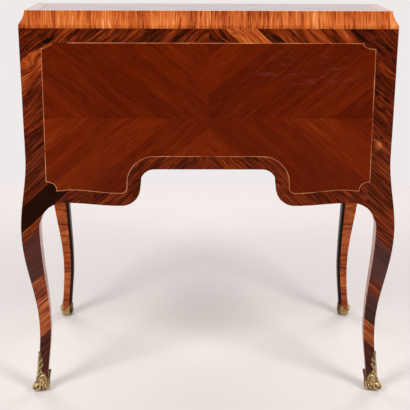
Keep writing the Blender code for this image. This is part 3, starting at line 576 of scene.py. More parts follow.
def slab(name, low, high, place, height, look, body, count, rows=2, depth=0.0, uv=False):
    # A veneer sheet ruled between a lower and an upper line: for each step along the two lines a thin
    # loop runs up the outer face and down the inner one. place(a, b, h) puts it in the desk.
    low, high = evenly(low, count), evenly(high, count)
    rise = np.linspace(0.0, 1.0, rows)[None, :, None]
    face = low[:, None, :] * (1 - rise) + high[:, None, :] * rise
    outer = place(face[..., 0], face[..., 1], height)
    inner = place(face[..., 0], face[..., 1], depth)
    grid = np.concatenate([outer, inner[:, ::-1]], axis=1)
    sheetUv = np.concatenate([face, face[:, ::-1]], axis=1) if uv else None
    return makePiece(name, grid, look, body, sheetUv=sheetUv)


ribbonSection = {"half": 0.5, "flat": 0.42}      # half width at the foot and at the top, in widths


def ribbon(name, path, place, width, height, look, body, base=0.0):
    # A thin strip round a closed line. Each corner is mitred: the sum of the two edges' normals over one plus
    # their dot product. The section is a low trapezium, proud of the sheet by height.
    path = path[np.linalg.norm(path - np.roll(path, 1, axis=0), axis=1) > 1e-5]      # no point twice
    ahead = np.roll(path, -1, axis=0) - path
    ahead /= np.linalg.norm(ahead, axis=1, keepdims=True)
    normal = np.stack([ahead[:, 1], -ahead[:, 0]], axis=-1)
    before = np.roll(normal, 1, axis=0)
    mitre = (normal + before) / (1 + (normal * before).sum(axis=1, keepdims=True))
    half, flat = ribbonSection["half"], ribbonSection["flat"]
    across = np.array([-half, -flat, flat, half]) * width
    lift = np.array([base, height, height, base])
    line = path[:, None, :] + mitre[:, None, :] * across[None, :, None]
    grid = place(line[..., 0], line[..., 1], np.broadcast_to(lift, line.shape[:2]))
    return makePiece(name, grid, look, body, wrapRows=True)


# faces of the desk to lay a sheet on: a runs along the face, b up it, h out of it
def onBack(a, b, h):
    return np.stack([a, backFace + h + 0 * a, b], axis=-1)


def onFront(a, b, h):
    return np.stack([a, frontFace - h + 0 * a, b], axis=-1)


def onSide(side):
    return lambda a, b, h: np.stack([side * (halfWidth + h + 0 * a), a, b], axis=-1)


def onTop(level):
    return lambda a, b, h: np.stack([a, b, level + h + 0 * a], axis=-1)


rollRadius = carcaseTop - axisZ - 0.001     # outer face of the closed cylinder, 1 mm under the case's top


def onRoll(a, b, h):
    # b is the distance up the curved face from the level of the pivot
    turn = b / rollRadius
    reach = rollRadius + h
    return np.stack([a, axisY - reach * np.cos(turn), axisZ + reach * np.sin(turn)], axis=-1)


# cabriole legs, the same curves as the solids
legShape = {
    "post": 0.052, "swellStart": 0.645, "kneeHeight": 0.452, "kneeSwell": 0.0174, "ankleHeight": 0.178,
    "ankleTuck": 0.0118, "footTuck": 0.0012, "kneeBack": 0.0286, "shinHeight": 0.190, "shinBack": 0.0407,
    "footBack": 0.0270, "bracket": 0.062, "apronEnd": 0.526, "flushRise": 0.009, "foot": 0.0074,
    "arris": 0.0016, "innerArris": 0.5, "chamfer": 0.0070,
    "squareFrom": 0.010, "squareRun": 0.030, "squareArris": 0.02,    # arrises turn square at the panels
    "levels": 150, "faceSteps": 6, "arrisSteps": 4,
}
bracketIn = legShape["kneeBack"] + legShape["bracket"]
bracketLow = legShape["apronEnd"] - legShape["bracket"]
postInner = halfWidth - legShape["post"]


def eased(knots, z):
    # smooth S-curves from knot to knot, knots run from high to low
    value = np.full_like(z, knots[0][1])
    for (high, first), (low, last) in zip(knots, knots[1:]):
        share = np.clip((high - z) / (high - low), 0.0, 1.0)
        value = value + (last - first) * (1 - np.cos(np.pi * share)) / 2
    return value


def legOuter(z):
    # out past the case at the knee, in at the ankle, out again at the foot
    shape = legShape
    return eased([(shape["swellStart"], 0.0), (shape["kneeHeight"], shape["kneeSwell"]),
                  (shape["ankleHeight"], -shape["ankleTuck"]), (0.0, -shape["footTuck"])], z)


def legInner(z):
    # below the bracket an S-curve, in the bracket a quarter round, above it the straight post
    shape = legShape
    shin = eased([(bracketLow, -shape["kneeBack"]), (shape["shinHeight"], -shape["shinBack"]),
                  (0.0, -shape["footBack"])], z)
    rise = np.clip(z - bracketLow, 0.0, shape["bracket"])
    sweep = -bracketIn + np.sqrt(shape["bracket"] ** 2 - rise ** 2)
    return np.maximum(np.where(z < bracketLow, shin, sweep), -shape["post"])


def legFlush(z):
    # the faces beside the panels: level with them at the apron, all of the knee's swell below it
    share = eased([(legShape["apronEnd"] + legShape["flushRise"], 0.0), (legShape["kneeHeight"], 1.0)], z)
    return share * legOuter(z)


def cabrioleLeg(name, side, end, top):
    # Each level is a five-cornered loop: outer corner, corner by the back or front panel, the two ends of the
    # chamfer on the inner arris, corner by the side panel. Corners are small rounds from Bezier curves.
    shape = legShape
    z = np.linspace(shape["foot"], top, shape["levels"])
    outer, inner, flush = legOuter(z) + skin, legInner(z), legFlush(z) + skin
    cut = inner + shape["chamfer"]
    pairs = ((outer, outer), (inner, flush), (inner, cut), (cut, inner), (flush, inner))
    corners = np.stack([np.stack(pair, -1) for pair in pairs], axis=1)
    below = (shape["apronEnd"] + shape["squareFrom"] - z) / shape["squareRun"]
    shown = np.clip(below, shape["squareArris"], 1.0)
    whole = np.ones_like(z)
    cutRound = shape["innerArris"] * whole
    radii = shape["arris"] * np.stack([whole, shown, cutRound, cutRound, shown], axis=1)
    nextCorners = np.roll(corners, -1, axis=1)
    ahead = nextCorners - corners
    ahead /= np.linalg.norm(ahead, axis=2, keepdims=True)
    start = corners + ahead * radii[..., None]
    stop = nextCorners - ahead * np.roll(radii, -1, axis=1)[..., None]
    run = np.linspace(0.0, 1.0, shape["faceSteps"])[:, None]
    faces = start[:, :, None, :] * (1 - run) + stop[:, :, None, :] * run
    bend = np.linspace(0.0, 1.0, shape["arrisSteps"] + 2)[1:-1, None]
    rounds = ((1 - bend) ** 2 * stop[:, :, None, :] + 2 * bend * (1 - bend) * nextCorners[:, :, None, :]
              + bend ** 2 * np.roll(start, -1, axis=1)[:, :, None, :])
    loop = np.concatenate([faces, rounds], axis=2)
    perSide = loop.shape[2]
    loop = loop.reshape(len(z), -1, 2)
    grid = np.stack([side * (halfWidth + loop[..., 0]), end * (backFace + loop[..., 1]),
                     np.broadcast_to(z[:, None], loop.shape[:2])], axis=-1)
    lookOf = np.tile(np.repeat(np.arange(5), perSide), len(z) - 1)
    # on the front legs the face towards the middle takes the dark chamfer wood: painted shade
    looks = [bandLeg, legCrossSide if end > 0 else legChamfer, legChamfer, legCross, bandSide]
    leg = makePiece(name + "_veneer", grid, looks, "case", lookOf=lookOf, sharp=50)
    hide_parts(name)


# name, side of the desk, back or front, top of the leg
legPlaces = [(f"{endName}_{sideName}", side, end, top)
             for end, endName, top in ((1, "rear", rearLegTop), (-1, "front", frontLegTop))
             for side, sideName in ((-1, "left"), (1, "right"))]
for legName, side, end, top in legPlaces:
    cabrioleLeg(legName + "_leg", side, end, top)
print("legs shaped")


# back panel with its kneehole, field and string
apronShape = {"kneeHalf": 0.170, "kneeTop": 0.613, "corner": 0.036, "lobeLow": 0.518, "lobe": 0.048,
              "thick": 0.0178, "blendFrom": 0.330, "clear": 0.0002, "steps": 30, "sweepSteps": 20,
              "rows": 40, "columns": 420}
stringShape = {"inset": 0.033, "outerTop": 0.4010, "outerLow": 0.4045, "top": 0.925, "bottom": 0.557,
               "endRise": 0.345, "endLevel": 0.560, "lowNotch": (0.0255, 0.0235), "lowQuirk": 0.004,
               "topNotch": (0.029, 0.0135), "topQuirk": 0.003, "notchSteps": 14, "width": 0.0014,
               "proud": 0.0009, "fieldProud": 0.0006, "backColumns": 600, "columns": 200, "curvedSteps": 1600}
corniceShape = {"footInset": -0.0004, "footDrop": 0.0010, "footFillet": 0.007, "topInset": 0.0132,
                "topFillet": 0.004, "hollow": 0.0022, "width": 0.0448, "ease": 0.0006, "heel": 0.0006,
                "seat": 0.0003, "solidFoot": 0.0015, "coveSteps": 24, "runSteps": 12}


def lobedHalf(inset, stop, endLevel):
    # kneehole edge from the middle to the foot of the lobe and on, moved in by inset
    shape = apronShape
    knee, corner, lobe = shape["kneeHalf"], shape["corner"], shape["lobe"]
    cornerRound = arcPoints((knee - corner, shape["kneeTop"] - corner), corner + inset, 90, 0, shape["steps"])
    lobeRound = arcPoints((knee + lobe, shape["lobeLow"] + lobe), lobe - inset, 180, 270, shape["steps"])
    share = np.linspace(0.0, 1.0, shape["steps"])[1:]
    start, level = lobeRound[-1]
    rise = np.stack([start + (stop - start) * share,
                     level + (endLevel - level) * (1 - np.cos(np.pi * share)) / 2], -1)
    return np.concatenate([[(0.0, shape["kneeTop"] + inset)], cornerRound, lobeRound, rise])


def backPanel():
    # the apron line ends in a quarter round up to the post, then steps out over the leg's top
    shape = apronShape
    stop = math.degrees(math.acos((bracketIn - legShape["post"]) / legShape["bracket"]))
    sweep = arcPoints((halfWidth - bracketIn, bracketLow), legShape["bracket"], 90, stop, shape["sweepSteps"])
    ledge = rearLegTop + shape["clear"]
    half = np.concatenate([lobedHalf(0.0, halfWidth - bracketIn, legShape["apronEnd"]), sweep,
                           [(postInner, ledge), (halfWidth + skin, ledge)]])
    brow = carcaseTop - corniceShape["footDrop"]
    high = np.array([(-halfWidth - skin, brow), (halfWidth + skin, brow)])

    def place(a, b, h):
        # near the legs the face swells out to meet them
        share = np.clip((np.abs(a) - shape["blendFrom"]) / (postInner - shape["blendFrom"]), 0.0, 1.0)
        swell = legFlush(b) * share ** 2 * (3 - 2 * share) * (h > 0)
        return np.stack([a, backFace + h + swell, b], axis=-1)

    panel = slab("back_panel_veneer", mirrored(half), high, place, skin, bandBack, "case",
                 shape["columns"], rows=shape["rows"], depth=-shape["thick"])
    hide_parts("back_panel")


def notch(corner, size, quirk, right, top):
    # a quarter round bitten out of a corner, with a small square step at each end, from the lower point up
    inward = np.array([-1 if right else 1, -1 if top else 1])
    turn = np.linspace(0.0, 0.5 * np.pi, stringShape["notchSteps"])
    bite = quirk + (np.array(size) - quirk) * np.stack([np.cos(turn), np.sin(turn)], -1)
    return np.array(corner) + inward * np.concatenate([[(size[0], 0.0)], bite, [(0.0, size[1])]])


def backField():
    # lobed below, straight above, bitten at the four corners, with the string round it
    shape = stringShape
    lowCorner = notch((shape["outerLow"], shape["bottom"]), shape["lowNotch"], shape["lowQuirk"], True, False)
    topCorner = notch((shape["outerTop"], shape["top"]), shape["topNotch"], shape["topQuirk"], True, True)
    lobed = lobedHalf(shape["inset"], shape["endRise"], shape["endLevel"])
    low = mirrored(np.concatenate([lobed, lowCorner]))
    high = mirrored(np.concatenate([[(0.0, shape["top"])], topCorner]))
    slab("back_field_veneer", low, high, onBack, shape["fieldProud"], fieldBack, "case",
         shape["backColumns"])
    ring = np.concatenate([low, high[::-1]])
    ribbon("back_string", ring, onBack, shape["width"], shape["proud"], stringBack, "case")


backPanel()
backField()
print("back veneered")


# cornice: foot fillet, hollow, top fillet, mitred at the corners
def corniceProfile():
    # (distance in, height), the cove is a straight slope with a half sine of hollow taken out of it
    shape = corniceShape
    tall = deskTop - carcaseTop
    footInset, topInset, ease, drop = (shape[key] for key in ("footInset", "topInset", "ease", "footDrop"))
    share = np.linspace(0.0, 1.0, shape["coveSteps"])
    cove = np.stack([footInset + (topInset - footInset) * share + shape["hollow"] * np.sin(np.pi * share),
                     shape["footFillet"] + (tall - shape["footFillet"] - shape["topFillet"]) * share], -1)
    foot = [(footInset + ease, -drop), (footInset, ease - drop)]
    head = [(topInset, tall - ease), (topInset + ease, tall), (shape["width"], tall),
            (shape["width"], shape["seat"]), (shape["heel"], shape["seat"]), (shape["heel"], -drop)]
    return np.concatenate([foot, cove, head])


def buildCornice():
    # the profile run along each side of the top, its ends moved in along the mitres
    profile = corniceProfile()
    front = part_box("front_cornice")[0].y - corniceShape["solidFoot"]
    corners = np.array([(halfWidth, backFace), (-halfWidth, backFace),
                        (-halfWidth, front), (halfWidth, front)])
    inward = np.array([(-1, -1), (1, -1), (1, 1), (-1, 1)])
    run = np.linspace(0.0, 1.0, corniceShape["runSteps"])[:, None, None]
    topEdge = np.argmax(profile[:, 1])                       # the flat on top starts at this point
    onTopFace = np.tile(np.arange(len(profile)) == topEdge, len(run) - 1)
    for index, name in enumerate(("back", "left", "front", "right")):
        first, last = (corners[i] + inward[i] * profile[:, :1] for i in (index, (index + 1) % 4))
        line = first * (1 - run) + last * run
        height = np.broadcast_to(carcaseTop + profile[:, 1], line.shape[:2])
        grid = np.concatenate([line, height[..., None]], axis=-1)
        looks = [corniceAcross if index % 2 == 0 else corniceAlong, corniceTop]
        piece = makePiece(name + "_cornice_moulding", grid, looks, "case", lookOf=onTopFace,
                          sharp=30)
        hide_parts(name + "_cornice")


buildCornice()
print("cornice run")


# bronze sabots: a cast shoe with a frilled shield on each outer face, and a leaf up the outer arris
# a ridge is (height, middle, half width), a groove has its height below 0
sabotShape = {
    "wall": 0.0022, "fit": 0.0004, "sole": 0.007, "flats": (44, 36, 12, 36, 44), "rows": 72, "innerRows": 6,
    "shield": 0.055, "rim": ((1.0, 0.0185), (1.12, 0.0185), (1.5, 0.028), (1.8, 0.036), (2.0, 0.049)),
    "frills": 7, "frill": 0.0022, "frillFade": 0.06, "frillCut": 0.9, "border": (0.0014, 0.0028, 0.0024),
    "scrollAt": (0.46, 0.0262), "scrollSize": (0.36, 0.0200), "scrollRadius": 0.86, "scrollWind": 0.10,
    "openTurn": 0.6, "openFrom": 0.70, "openRun": 0.6,
    "scroll": ((0.0024, 0.0, 0.13), (-0.0015, 0.27, 0.12), (-0.0010, -0.27, 0.13)),
    "boss": ((0.0022, 0.0, 0.30), (-0.0013, 0.0, 0.11)), "faceFade": 0.08,
    "flutes": 9, "flute": 0.0021, "fluteTurn": 0.5, "fluteFade": 0.35, "fanTop": 0.35,
    "fan": (1.0, 0.85, 0.42),
    "toe": 0.0158, "toeWide": 0.40, "toeLevel": 0.0140, "toeAbove": 0.0180, "toeBelow": 0.0160,
    "toeTuck": (0.003, 0.013, 0.6), "toeBlunt": 0.36, "bluntWide": 0.45,
    "gadroon": 0.0016, "gadroonStep": 0.17,
    "footBead": (0.0008, 0.0045, 0.0028), "spur": (0.0085, 0.0, 0.15), "spurRise": 4.5,
    "cuffRidge": 0.0009, "cuffFirst": 0.0026, "cuffStep": 0.0072, "cuffDeep": 0.020, "cuffFade": 0.10,
    "rimRound": 0.0015, "rimFrom": 0.94, "soleRound": 0.0056, "soleRise": 0.0110,
}
# darkening of the sabots: patina in the hollows, painted shade on the face towards the middle, the chamfer
# and the toe, and darker towards the sole
sabotPatinaAndShade = {"from": 0.0005, "run": 0.0019, "frill": (1.0, 0.0024, 0.0030), "frillFrom": 1.1,
               "figure": 0.33, "toe": 0.16, "innerFaces": 0.65, "sole": 0.55, "soleRise": 0.007}


def clamp(share):
    return np.clip(share, 0, 1)


def bell(distance, width=1.0):
    return np.exp(-(distance / width) ** 2)


def ridge(distance, values):
    height, middle, width = values
    return height * bell(distance - middle, width)


def footWalk(flats):
    # five flats from the outer arris round: which flat, how far along it, and the place on the rim, which
    # is 0 at the outer arris, 1 at a side arris and 2 at the middle of the chamfer
    flat = np.repeat(np.arange(5), flats)
    along = np.concatenate([np.arange(count) / count for count in flats])
    places = np.array([0.0, 1.0, 1.75, 2.25, 3.0, 4.0])
    walk = places[flat] + (places[flat + 1] - places[flat]) * along
    return flat, along, np.minimum(walk, 4 - walk)


def footPoints(flat, along, half, proud):
    # the flats' corners moved out by proud, then straight lines between them
    reach = half + proud
    cut = legShape["chamfer"] + proud * (2 - math.sqrt(2)) - reach
    x = np.stack([reach, -reach, -reach, cut, reach, reach])
    y = np.stack([reach, reach, cut, -reach, -reach, reach])
    row, column = np.indices(reach.shape)
    here, ahead = (flat[None, :], row, column), (flat[None, :] + 1, row, column)
    return x[here] * (1 - along) + x[ahead] * along, y[here] * (1 - along) + y[ahead] * along


def sabotRim(walk):
    # the shield falls from the outer arris like a quarter ellipse with a frilled edge, the cuff dips and
    # rises to a spur
    shape = sabotShape
    places, heights = np.array(shape["rim"]).T
    fall = np.sqrt(clamp(1 - clamp(walk) ** 2))
    frill = shape["frill"] * np.abs(np.sin(np.pi * shape["frills"] * walk))
    frill = frill * clamp((1 - walk) / shape["frillFade"])
    shield = heights[0] + (shape["shield"] - heights[0]) * fall + frill
    return np.where(walk <= 1, shield, np.interp(walk, places, heights))


def sabotRelief(walk, height, rim):
    # How far the bronze stands off the wood: a frilled border inside the rim, a C-scroll in the middle of the
    # shield, open towards the toe, round a small boss, with shell flutes fanned out below it, a gadrooned toe
    # at the outer arris, a foot bead, ridges along the rim of the cuff and a hooked spur on the chamfer. The
    # second answer is how dark each place is: patina in the hollows, and painted shade on the toe's dome.
    shape, stain = sabotShape, sabotPatinaAndShade
    edge = rim - height
    frill = 1 - shape["frillCut"] * np.cos(2 * np.pi * shape["frills"] * walk)
    border = ridge(edge, shape["border"]) * frill
    u = (walk - shape["scrollAt"][0]) / shape["scrollSize"][0]
    v = (height - shape["scrollAt"][1]) / shape["scrollSize"][1]
    away, angle = np.hypot(u, v), np.arctan2(v, u)
    opened = clamp((np.cos(angle - shape["openTurn"]) + shape["openFrom"]) / shape["openRun"])
    line = away - shape["scrollRadius"] - shape["scrollWind"] * angle / np.pi
    scroll = sum(ridge(line, values) for values in shape["scroll"]) * opened
    boss = sum(ridge(away, values) for values in shape["boss"])
    fan = clamp(shape["fanTop"] - v) * ridge(away, shape["fan"]) * (1 - shape["fluteFade"] * opened)
    flutes = shape["flute"] * np.cos(shape["flutes"] * angle + shape["fluteTurn"]) * fan

    rise = height - shape["toeLevel"]
    tall = np.where(rise > 0, shape["toeAbove"], shape["toeBelow"])
    dome = bell(np.hypot(walk / shape["toeWide"], rise / tall))
    gadroons = shape["gadroon"] * np.cos(2 * np.pi * walk / shape["gadroonStep"]) * dome
    below, run, power = shape["toeTuck"]
    tucked = clamp((height + below) / run) ** power
    blunt = 1 - shape["toeBlunt"] * clamp(1 - walk / shape["bluntWide"]) ** 2   # rounds the corner in plan
    toe = (shape["toe"] * dome + gadroons) * blunt * tucked
    foot = ridge(height, shape["footBead"])
    spur = ridge(2 - walk, shape["spur"]) * clamp(height / rim) ** shape["spurRise"]

    onFace, onCuff = clamp((1 - walk) / shape["faceFade"]), clamp((walk - 1) / shape["cuffFade"])
    waves = np.cos(2 * np.pi * (edge - shape["cuffFirst"]) / shape["cuffStep"])
    ridges = shape["cuffRidge"] * waves * bell(edge, shape["cuffDeep"])
    figure = (border + scroll + boss + flutes) * onFace + ridges * onCuff
    hollow = clamp((stain["from"] - figure - gadroons) / stain["run"]) * np.maximum(onFace, onCuff)
    hollow = hollow + onFace * ridge(edge, stain["frill"]) * clamp(stain["frillFrom"] - frill)
    # the toe's dome is darkened as well: painted shade
    return shape["wall"] + figure + toe + foot + spur, stain["figure"] * hollow + stain["toe"] * dome


def castShoe(name, side, end):
    # rows run from under the sole up the outer wall to the rim, and down the inner wall to the floor of the
    # socket
    shape, stain = sabotShape, sabotPatinaAndShade
    flat, along, walk = footWalk(shape["flats"])
    rim = sabotRim(walk)
    up = np.linspace(0.0, 1.0, shape["rows"])[:, None]
    height = rim * up
    proud, hollow = sabotRelief(walk, height, rim)
    proud = proud - shape["rimRound"] * clamp((up - shape["rimFrom"]) / (1 - shape["rimFrom"])) ** 2
    proud = proud - shape["soleRound"] * clamp(1 - height / shape["soleRise"]) ** 2
    # painted shade on the inner face that looks to the middle and on the chamfer; the shoe is also darker
    # towards the sole
    shadedInner = (flat == 1) | (flat == 2)                    # left dark, and so is the edge of the sole
    hollow = np.maximum(hollow, stain["innerFaces"] * shadedInner)
    hollow = np.maximum(hollow, stain["sole"] * clamp(1 - height / stain["soleRise"]))
    inside = (shape["innerRows"], len(walk))
    down = np.linspace(0.0, 1.0, shape["innerRows"])[:, None]
    z = np.concatenate([height, rim + (shape["sole"] - rim) * down])
    proud = np.concatenate([proud, np.full(inside, shape["fit"])])
    hollow = np.concatenate([hollow, np.ones(inside)])
    wood = np.maximum(z, shape["sole"])
    outer, inner = legOuter(wood), legInner(wood)
    a, b = footPoints(flat, along, (outer - inner) / 2, proud)
    middle = (outer + inner) / 2
    grid = np.stack([side * (halfWidth + middle + a), end * (backFace + middle + b), z], axis=-1)
    darkening = np.stack([hollow, 0 * hollow], axis=-1)
    shoe = makePiece(name + "_shoe", grid, bronze, "case", sheetUv=darkening, sharp=60)
    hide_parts(name)


leafShape = {
    "low": 0.044, "high": 0.111, "half": 0.0125, "least": 0.0005, "spread": 0.006,
    "swell": ((0.0, 0.18, 0.45, 0.62, 0.85, 1.0), (0.50, 0.70, 1.0, 0.80, 0.36, 0.08)),
    "lobes": 3.6, "lobeStart": 0.40, "lobeCut": 0.55, "lobePoint": 0.7,
    "thick": 0.0026, "edge": 0.0007, "thinOut": 0.70, "thinCurve": 1.4, "thinUp": 0.30,
    "vein": 0.0027, "veinSlant": 0.6, "rib": (0.0007, 0.0, 0.12),
    "tipCurl": 0.0022, "tipFrom": 0.86, "fit": 0.0002, "rows": 110, "columns": 45,
}
leafPatina = {"from": 0.0002, "run": 0.0008, "edge": 1.2, "tip": 0.35, "most": 0.8}


def arrisLeaf(name, side, end):
    # An acanthus leaf folded over the outer arris. s runs up the leaf, t across it from -1 to 1; its half
    # width swells and tapers with pointed lobes, a rib stands along the arris and veins run out to the lobes.
    shape, stain = leafShape, leafPatina
    s = np.linspace(0.0, 1.0, shape["rows"])[:, None]
    t = np.linspace(-1.0, 1.0, shape["columns"])[None, :]
    wide = np.abs(t)
    swell = np.interp(s, *shape["swell"])
    teeth = (s * shape["lobes"] + shape["lobeStart"]) % 1.0
    lobed = 1 - shape["lobeCut"] + shape["lobeCut"] * teeth ** shape["lobePoint"]
    half = shape["half"] * swell * lobed + shape["least"]
    z = shape["low"] + (shape["high"] - shape["low"]) * s + shape["spread"] * wide * (1 - s) * swell
    out = wide * half                                        # distance from the arris along either face
    thinned = (1 - shape["thinOut"] * wide ** shape["thinCurve"]) * (1 - shape["thinUp"] * s)
    thick = shape["thick"] * thinned + shape["edge"]
    slant = s * shape["lobes"] - shape["veinSlant"] * wide
    veins = shape["vein"] * np.cos(2 * np.pi * slant) * (1 - wide) * wide
    rib = ridge(t, shape["rib"])
    curl = shape["tipCurl"] * clamp((s - shape["tipFrom"]) / (1 - shape["tipFrom"])) ** 2   # off the wood
    proud = thick + veins + rib + curl
    hollow = clamp((stain["from"] - veins - rib) / stain["run"]) * clamp(stain["edge"] - wide)
    hollow = hollow + stain["tip"] * s
    face = legOuter(z)

    def folded(lift):
        # on one face the leaf lies along x, on the other along y
        a = np.where(t < 0, face - out, face + lift)
        b = np.where(t < 0, face + lift, face - out)
        return np.stack([side * (halfWidth + a), end * (backFace + b), np.broadcast_to(z, a.shape)], axis=-1)

    grid = np.concatenate([folded(proud), folded(shape["fit"] + 0 * proud)[:, ::-1]], axis=1)
    hollow = np.clip(np.concatenate([hollow, np.ones_like(hollow)], axis=1), 0, stain["most"])
    darkening = np.stack([hollow, 0 * hollow], axis=-1)
    makePiece(name + "_leaf", grid, bronze, "case", sheetUv=darkening, sharp=70)


for legName, side, end, top in legPlaces:
    castShoe(legName + "_sabot", side, end)
    arrisLeaf(legName + "_sabot", side, end)
print("sabots cast")


# fields and strings on the other faces
def plainFrame(x0, x1, z0, z1, shape):
    # lower and upper line of a rectangle with bitten corners, from left to right
    def bitten(z, top):
        left, right = (notch((x, z), [shape["bite"]] * 2, shape["quirk"], x == x1, top) for x in (x0, x1))
        return np.concatenate([left[::-1], right])

    return bitten(z0, False), bitten(z1, True)


def framedField(name, low, high, place, look, body, rows=2, curved=False):
    # a field between two lines with a string round it; a curved face needs short steps
    shape = stringShape
    slab(name + "_field", low, high, place, shape["fieldProud"], look, body, shape["columns"],
         rows=rows, uv=curved)
    ring = np.concatenate([low, high[::-1], low[:1]])
    ring = evenly(ring, shape["curvedSteps"]) if curved else ring
    ribbon(name + "_string", ring[:-1], place, shape["width"], shape["proud"], stringing, body)


sideField = {"rear": 0.200, "low": 0.585, "inset": 0.046, "bite": 0.022, "quirk": 0.004, "steps": 60}
drawerField = {"inset": 0.014, "bite": 0.010, "quirk": 0.002}


def sideFields():
    # the field follows the quarter round of the cheek, one band's width inside it
    shape = sideField
    radius = carcaseTop - axisZ - shape["inset"]
    low, high = plainFrame(axisY - radius, shape["rear"], shape["low"], axisZ + radius, shape)
    cheek = arcPoints((axisY, axisZ), radius, 180, 90, shape["steps"])
    high = np.concatenate([cheek, high[len(high) // 2:]])      # in the place of the front corner
    for side, sideName in ((-1, "left"), (1, "right")):
        framedField(sideName + "_side", low, high, onSide(side), fieldSide, "case")


def drawerFields():
    inset = drawerField["inset"]
    for name in ("centre_drawer", "left_drawer", "right_drawer"):
        lowBox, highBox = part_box(name + "_front")
        low, high = plainFrame(lowBox.x + inset, highBox.x - inset, lowBox.z + inset, highBox.z - inset,
                               drawerField)
        framedField(name, low, high, onFront, fieldDrawer, name)


rollShape = {"thick": 0.016, "lowClear": 0.0001, "highClear": 0.0005, "steps": 120, "columns": 24,
             "bandLow": 0.046, "bandHigh": 0.057, "bandSide": 0.048, "bite": 0.022, "quirk": 0.004,
             "fieldRows": 70}


def rollTop():
    # the cylinder's curved board: each row is its section, outer arc up and inner arc down, run across the
    # desk
    shape = rollShape
    lowBox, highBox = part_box("cylinder_shell")
    first = math.asin((lowBox.z + shape["lowClear"] - axisZ) / rollRadius)
    last = math.pi / 2 + math.asin((highBox.y - axisY) / rollRadius) - shape["highClear"]
    up = rollRadius * np.linspace(first, last, shape["steps"])
    across = np.linspace(lowBox.x, highBox.x, shape["columns"])
    a, b = np.meshgrid(across, np.concatenate([up, up[::-1]]), indexing="ij")
    grid = onRoll(a, b, np.repeat([0.0, -shape["thick"]], shape["steps"]))
    board = makePiece("cylinder_board", grid, bandRoll, "cylinder", sheetUv=np.stack([a, b], -1))
    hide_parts("cylinder_shell")
    low, high = plainFrame(lowBox.x + shape["bandSide"], highBox.x - shape["bandSide"], shape["bandLow"],
                           last * rollRadius - shape["bandHigh"], shape)
    framedField("cylinder", low, high, onRoll, fieldRoll, "cylinder", rows=shape["fieldRows"],
                curved=True)


sideFields()
drawerFields()
rollTop()
print("front and sides inlaid")


# turned knobs, keyhole plate and gold tooling
knobShape = {
    "ballRadius": 0.0085, "ballMiddle": 0.0109, "ballTall": 0.0056, "ballTurn": (0.02, math.radians(128)),
    "ballSteps": 18,
    "neck": [(0.0046, 0.0066), (0.0037, 0.0052), (0.0035, 0.0042), (0.0040, 0.0035), (0.0052, 0.0031)],
    "flange": [(0.0062, 0.0029), (0.0072, 0.0026), (0.0081, 0.0021), (0.0084, 0.0013), (0.0081, 0.0004),
               (0.0070, 0.0)],
    "beads": 22, "beadDepth": 0.035, "beadsBelow": 0.0024, "around": 66,
    "rollTurn": math.radians(8), "rollSeat": 0.0003, "nestScale": 0.66, "nestLong": 0.0104,
}


def knobProfile():
    # (radius, height): crowned ball, pinched neck, stepped flange with a beaded edge
    shape = knobShape
    drop = np.linspace(*shape["ballTurn"], shape["ballSteps"])
    ball = np.stack([shape["ballRadius"] * np.sin(drop),
                     shape["ballMiddle"] + shape["ballTall"] * np.cos(drop)], -1)
    return np.concatenate([ball, shape["neck"], shape["flange"]])


def turnedKnob(name, seat, facing, body, scale=1.0):
    # a profile turned about the line through its seat, with beads round the flange
    shape = knobShape
    radius, height = (knobProfile() * scale).T[:, :, None]
    turn = np.linspace(0.0, 2 * np.pi, shape["around"], endpoint=False)
    onFlange = (height < shape["beadsBelow"] * scale) & (height > 0)
    radius = radius * (1 + shape["beadDepth"] * np.cos(shape["beads"] * turn) * onFlange)
    facing = np.array(facing) / np.linalg.norm(facing)
    across = np.array([1.0, 0.0, 0.0])
    ring = np.cos(turn)[:, None] * across + np.sin(turn)[:, None] * np.cross(facing, across)
    grid = np.array(seat) + height[..., None] * facing + radius[..., None] * ring
    return makePiece(name, grid, bronze, body, sharp=60)


def placeKnobs():
    shape = knobShape
    forward = (0, -1, 0)
    for name, body in (("centre_drawer_knob", "centre_drawer"), ("left_drawer_knob", "left_drawer"),
                       ("right_drawer_knob", "right_drawer"), ("left_slide_knob", "slide"),
                       ("right_slide_knob", "slide")):
        low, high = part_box(name)
        seat = ((low.x + high.x) / 2, high.y, (low.z + high.z) / 2)
        piece = turnedKnob(name + "_turned", seat, forward, body)
        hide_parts(name)
    cosA, sinA = math.cos(shape["rollTurn"]), math.sin(shape["rollTurn"])
    reach = rollRadius + shape["rollSeat"]
    for sideName in ("left", "right"):
        name = sideName + "_cylinder_knob"
        low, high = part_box(name)
        seat = ((low.x + high.x) / 2, axisY - reach * cosA, axisZ + reach * sinA)
        piece = turnedKnob(name + "_turned", seat, (0, -cosA, sinA), "cylinder")
        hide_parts(name)
        low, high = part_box(f"nest_{sideName}_drawer")
        seat = ((low.x + high.x) / 2, low.y + shape["nestLong"], (low.z + high.z) / 2)
        turnedKnob(f"nest_{sideName}_knob", seat, forward, f"small_{sideName}_drawer", shape["nestScale"])


keyShape = {"rise": 0.0225, "tall": 0.019, "wide": 0.0135, "hole": 0.0023, "slot": 0.0062, "slotWidth": 0.20,
            "lobes": 8, "lobeDepth": 0.09, "ripple": 0.0004, "edge": 0.0003, "proud": 0.0016,
            "around": 120, "outerSteps": 14, "innerSteps": 4, "dish": (0.06, 0.97, 0.6)}


